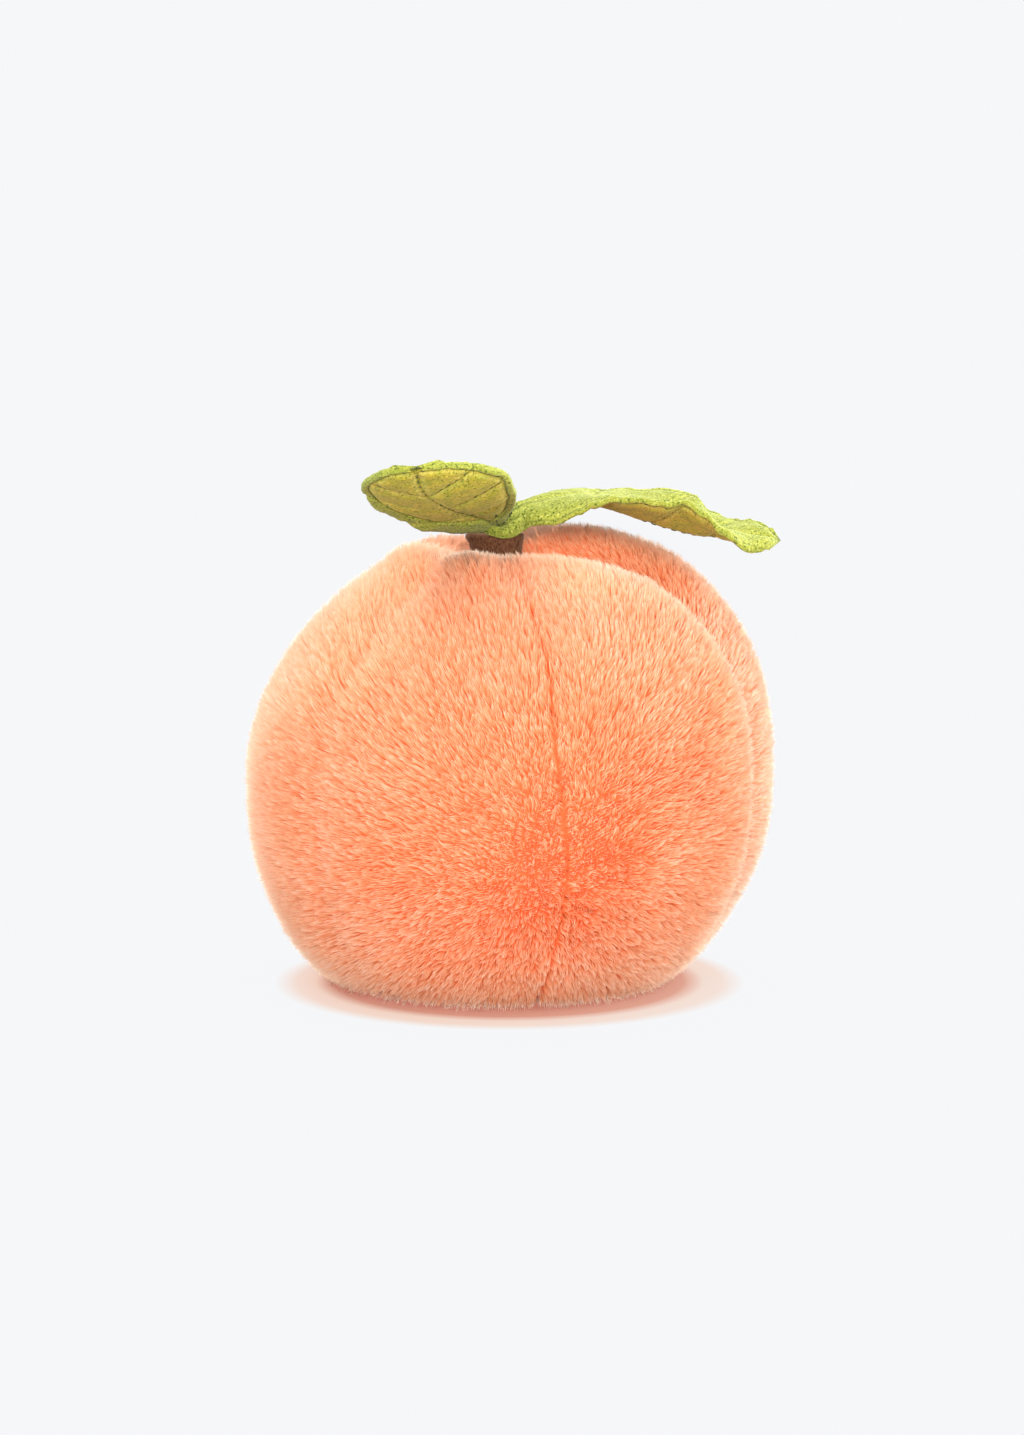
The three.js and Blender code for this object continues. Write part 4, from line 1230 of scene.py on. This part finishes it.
# %% Finish of the filling and the pellets
def noisy_material(name, pale, deep, scale, depth, roughness):
    """A mottled finish with a bump of the same grain."""
    material, _, shader = new_material(name)
    grain = noise(material, scale, 6)
    wire(material, ramp(material, grain, [(0.35, deep), (0.65, pale)]), shader.inputs["Base Color"])
    raised(material, shader, grain, 0.8, depth)
    set_shader(shader, Roughness=roughness)
    return material


white_fibre = noisy_material("white_fibre", (0.88, 0.87, 0.85), (0.62, 0.61, 0.59), 420, 1.2 * MM, 0.95)
bean_plastic = noisy_material("bean_plastic", (0.74, 0.74, 0.71), (0.60, 0.60, 0.57), 900, 0.1 * MM, 0.5)
print("inside finishes:", white_fibre.name, "and", bean_plastic.name)

# %% The two leaves
for name, leaf in leaves.items():
    top = cloth_piece(f"{name}_leaf_top_cloth", leaf, top_cloth(leaf), False)
    under = cloth_piece(f"{name}_leaf_under_cloth", leaf, under_cloth(leaf), True)
    hand_over(top, top_green, [f"{name}_leaf_top"])
    hand_over(under, under_olive, [f"{name}_leaf_underside"])
    wadding = wadding_piece(f"{name}_leaf_quilt_wadding", leaf)
    hand_over(wadding, white_fibre, [f"{name}_leaf_wadding"])
    for side, thread in ((1, "needle"), (-1, "bobbin")):
        piece = new_piece(f"{name}_leaf_{thread}_stitches", *stitches(name, leaf, side))
        hand_over(piece, green_thread, [f"{name}_leaf_{thread}_thread"])
    print(name, "leaf: length", round(leaf.length, 1), "mm,", len(top.data.polygons) * 2, "top triangles")

# %% [markdown]
# ## Folds at the stalk
# Where the leaves meet, their ends are gathered and tacked to the top of the stalk. The cloth bulges over
# the stitches: a collar in front of the stalk, and a roll under the near edge of the left leaf. They could
# be sculpted, but a strip between two curves is easier to move until it lies against the stalk. Each strip
# is puffed in the middle and closed all round.

# %% Folds at the stalk
FOLDS = {
    "leaf_base_fold": (
        [(-9.4, -6.6, 126.2), (-6.4, -7.6, 124.9), (-3.0, -7.6, 124.1), (0.4, -6.4, 125.6),
         (4.0, -4.4, 127.4)],
        [(-8.6, -7.2, 123.0), (-6.4, -8.6, 122.2), (-2.8, -9.2, 121.3), (0.4, -8.2, 121.5),
         (3.0, -6.2, 122.8)],
    ),
    "left_leaf_roll": (
        [(-25.4, -20, 127.3), (-19, -18, 128.1), (-13, -15, 128.3), (-7.8, -11.5, 126.8)],
        [(-25, -19, 126.4), (-19, -16.5, 124.3), (-13, -13, 123.6), (-7.4, -9.5, 123.5)],
    ),
}
FOLD_HALF, FOLD_DEPTH = 1.5, 5.0
FOLD_ROWS, FOLD_COLUMNS = 24, 48
FOLD_FACES = unit(np.array([0.0, -0.85, 0.5]))


def fold_point(name, u, v, side):
    """A puffed strip of cloth: u from one end to the other, v from its top edge down to its foot."""
    top, foot = (curve(edge, u) for edge in FOLDS[name])
    place = top + (foot - top) * v[..., None]
    rounded = np.sqrt(np.clip(v * (1 - v) * 4, 0, 1)) * np.sqrt(np.clip(u * (1 - u) * 9, 0, 1))
    thick = FOLD_HALF * rounded * (1 + 0.12 * waves(place, 2.2, 6, 51))
    return place + FOLD_FACES * (side * thick)[..., None] + offset


def fold_piece(name):
    """One fold, with its seam along its top edge."""
    v, u = np.meshgrid(np.linspace(0, 1, FOLD_ROWS), np.linspace(0, 1, FOLD_COLUMNS), indexing="ij")
    piece = closed_sheet(name, fold_point(name, u, v, -1), fold_point(name, u, v, 1))
    # The cloth's finish reads this as on the leaves: painted shade along the seam and a painted highlight
    # below it.
    store_groove(piece, np.stack([v, v]) * FOLD_DEPTH)
    return piece


for name in FOLDS:
    hand_over(fold_piece(name), top_green)
print("folds:", len(FOLDS))

# %% [markdown]
# ## Filling
# Inside the gores is polyester fibre, pushed in by the handful, so it is lumpy. Loose fibres could be made
# as the pile is, but nobody sees them, so one closed, lumpy surface stands for them all. It follows the skin
# from a few millimetres inside, and it is hollowed underneath to make room for the bean pouch.

# %% Filling
FILL_ROWS, FILL_COLUMNS = 60, 120
FILL_GAP, FILL_FLOOR, FILL_CROWN = 0.8, 2.6, 1.50
HOLLOW_RADIUS, HOLLOW_RIM, HOLLOW_CROWN, HOLLOW_GAP = 32.0, 12.0, 22.0, 1.2


def filling_piece():
    """A lumpy ball just inside the gores, hollowed underneath over the pouch."""
    lat = np.linspace(LAT_SOLE, FILL_CROWN, FILL_ROWS)[:, None]
    az = np.linspace(0, 2 * np.pi, FILL_COLUMNS, endpoint=False)[None, :]
    az, lat = np.broadcast_arrays(az, lat)
    place, normal = skin_frame(az, lat)[:2]
    lumps = 0.8 + 0.5 * waves(place, 9, 8, 61) + 0.3 * waves(place, 4, 8, 62)
    place = place - normal * (PILE + BACK_THICKNESS + FILL_GAP + np.maximum(lumps, 0))[..., None]
    place[..., 2] = np.maximum(place[..., 2], FILL_FLOOR)
    out = np.hypot(place[..., 0] - offset[0], place[..., 1] - offset[1])
    arch = np.sqrt(np.clip(1 - (out / HOLLOW_RADIUS) ** 2, 0, 1))
    dome = HOLLOW_RIM + (HOLLOW_CROWN - HOLLOW_RIM) * arch + HOLLOW_GAP
    under = (np.sin(lat) < -0.5) & (out < HOLLOW_RADIUS)
    place[..., 2] = np.where(under, dome, place[..., 2])
    points = np.concatenate([place.reshape(-1, 3), [place[0].mean(0), place[-1].mean(0)]])
    return new_piece("polyester_filling", points, turned_faces(FILL_ROWS, FILL_COLUMNS))


filling = filling_piece()
hand_over(filling, white_fibre, ["stuffing"])
print("filling:", len(filling.data.polygons), "triangles")

# %% [markdown]
# ## Bean pouch
# A round toy rolls over unless its base is heavy, so a small cotton bag of pellets lies at the bottom. It
# is two round cloths sewn edge to edge and filled. That is what a cloth simulation does well: a flat ball
# gets air pressure inside, settles for twenty steps, and its result is applied to the mesh.

# %% Finish of the pouch
def woven_cloth(name, pale, deep, threads):
    """Plain weave: two sets of bands crossing, with a bump."""
    material, nodes, shader = new_material(name)
    place = nodes.new("ShaderNodeTexCoord")
    sets = []
    for way in ("X", "Y"):
        band = nodes.new("ShaderNodeTexWave")
        band.bands_direction = way
        band.inputs["Scale"].default_value = threads
        band.inputs["Distortion"].default_value = 0.6
        band.inputs["Detail"].default_value = 1
        wire(material, place.outputs["Object"], band.inputs["Vector"])
        sets.append(band)
    weave = nodes.new("ShaderNodeMath")
    weave.operation = "MAXIMUM"
    wire(material, sets[0].outputs["Fac"], weave.inputs[0])
    wire(material, sets[1].outputs["Fac"], weave.inputs[1])
    height = weave.outputs["Value"]
    wire(material, ramp(material, height, [(0.3, deep), (0.9, pale)]), shader.inputs["Base Color"])
    raised(material, shader, height, 0.5, 0.2 * MM)
    set_shader(shader, Roughness=0.9)
    return material


pouch_cotton = woven_cloth("pouch_cotton", (0.80, 0.76, 0.68), (0.56, 0.52, 0.45), 550)
print("pouch finish:", pouch_cotton.name)

# %% The pouch
POUCH_MIDDLE, POUCH_RADIUS, POUCH_HALF = 13.2, 29.0, 6.2
POUCH_FLOOR, POUCH_CEILING = 5.4, 21.4
POUCH_VOXEL, POUCH_GIVE = 2.2 * MM, 1.6 * MM
POUCH_PRESSURE, POUCH_STEPS = 4.0, 20


def pouch_piece():
    """A flat round bag, filled by a short cloth simulation with air pressure inside."""
    bpy.ops.object.select_all(action="DESELECT")
    middle = (offset + np.array([0, 0, POUCH_MIDDLE])) * MM
    bpy.ops.mesh.primitive_uv_sphere_add(
        segments=48, ring_count=24, radius=POUCH_RADIUS * MM, location=middle)
    piece = bpy.context.object
    piece.name = "bean_pouch_cloth"
    piece.scale = (1, 1, POUCH_HALF / POUCH_RADIUS)
    bpy.ops.object.transform_apply(location=True, rotation=True, scale=True)
    remesh = piece.modifiers.new("even", "REMESH")
    remesh.mode = "VOXEL"
    remesh.voxel_size = POUCH_VOXEL
    bpy.ops.object.modifier_apply(modifier=remesh.name)
    before = np.empty(len(piece.data.vertices) * 3)
    piece.data.vertices.foreach_get("co", before)
    cloth = piece.modifiers.new("air", "CLOTH")
    cloth.settings.use_pressure = True
    cloth.settings.uniform_pressure_force = POUCH_PRESSURE
    cloth.settings.effector_weights.gravity = 0
    cloth.point_cache.frame_end = POUCH_STEPS
    for step in range(1, POUCH_STEPS + 1):
        bpy.context.scene.frame_set(step)
    bpy.context.view_layer.objects.active = piece
    bpy.ops.object.modifier_apply(modifier=cloth.name)
    after = np.empty(len(before))
    piece.data.vertices.foreach_get("co", after)
    moved = (after - before).reshape(-1, 3)
    far = np.linalg.norm(moved, axis=1, keepdims=True)
    moved *= np.minimum(1, POUCH_GIVE / np.maximum(far, 1e-9))
    settled = before.reshape(-1, 3) + moved
    settled[:, 2] = np.clip(settled[:, 2], POUCH_FLOOR * MM, POUCH_CEILING * MM)
    piece.data.vertices.foreach_set("co", settled.ravel())
    piece.data.update()
    bpy.context.scene.frame_set(1)
    bpy.ops.object.shade_smooth()
    print("pouch: the cloth moved up to", round(float(far.max()) / MM, 2), "mm")
    return piece


hand_over(pouch_piece(), pouch_cotton, ["bean_pouch_top", "bean_pouch_bottom"])

# %% [markdown]
# ## Pellets
# The pouch holds small plastic pellets. A simulation could pour them in, but they are never seen, so one
# pellet of twenty faces is modelled, and copies of it are packed in staggered rows, each squashed and shaken
# a little.

# %% Pellets
BEAN_RADIUS = 1.38
BEAN_LAYERS, BEAN_ROWS, BEAN_SPACING = np.arange(9.6, 17.8, 2.6), np.arange(-26, 26, 2.8), 3.2
BEAN_ROOM, BEAN_ROOM_HALF, BEAN_SHAKE = 24.5, 5.6, 0.12
beans_pick = np.random.default_rng(77)


def bean_places():
    """Rows of staggered places inside the pouch, each shaken a little."""
    places = []
    for layer, z in enumerate(BEAN_LAYERS):
        for row, y in enumerate(BEAN_ROWS):
            for x in np.arange(-26, 26, BEAN_SPACING):
                spot = np.array([x + BEAN_SPACING / 2 * ((row + layer) % 2), y + 0.9 * (layer % 2), z])
                level = (z - POUCH_MIDDLE) / BEAN_ROOM_HALF
                if (spot[0] ** 2 + spot[1] ** 2) / BEAN_ROOM**2 + level**2 < 0.93:
                    places.append(spot + beans_pick.uniform(-BEAN_SHAKE, BEAN_SHAKE, 3) + offset)
    return np.array(places)


def beans_piece():
    """Copies of one pellet, each squashed its own way, as one mesh."""
    bpy.ops.object.select_all(action="DESELECT")
    bpy.ops.mesh.primitive_ico_sphere_add(subdivisions=1, radius=BEAN_RADIUS)
    one = bpy.context.object
    corners = np.array([v.co[:] for v in one.data.vertices])
    sides = np.array([list(p.vertices) for p in one.data.polygons])
    bpy.data.objects.remove(one)
    places = bean_places()
    squash = beans_pick.uniform(0.8, 1.0, (len(places), 3))
    points = places[:, None] + corners[None] * squash[:, None]
    faces = sides[None] + (np.arange(len(places)) * len(corners))[:, None, None]
    print("beans:", len(places))
    return new_piece("bean_pellets", points.reshape(-1, 3), faces.reshape(-1, 3))


hand_over(beans_piece(), bean_plastic, ["bean_fill"])
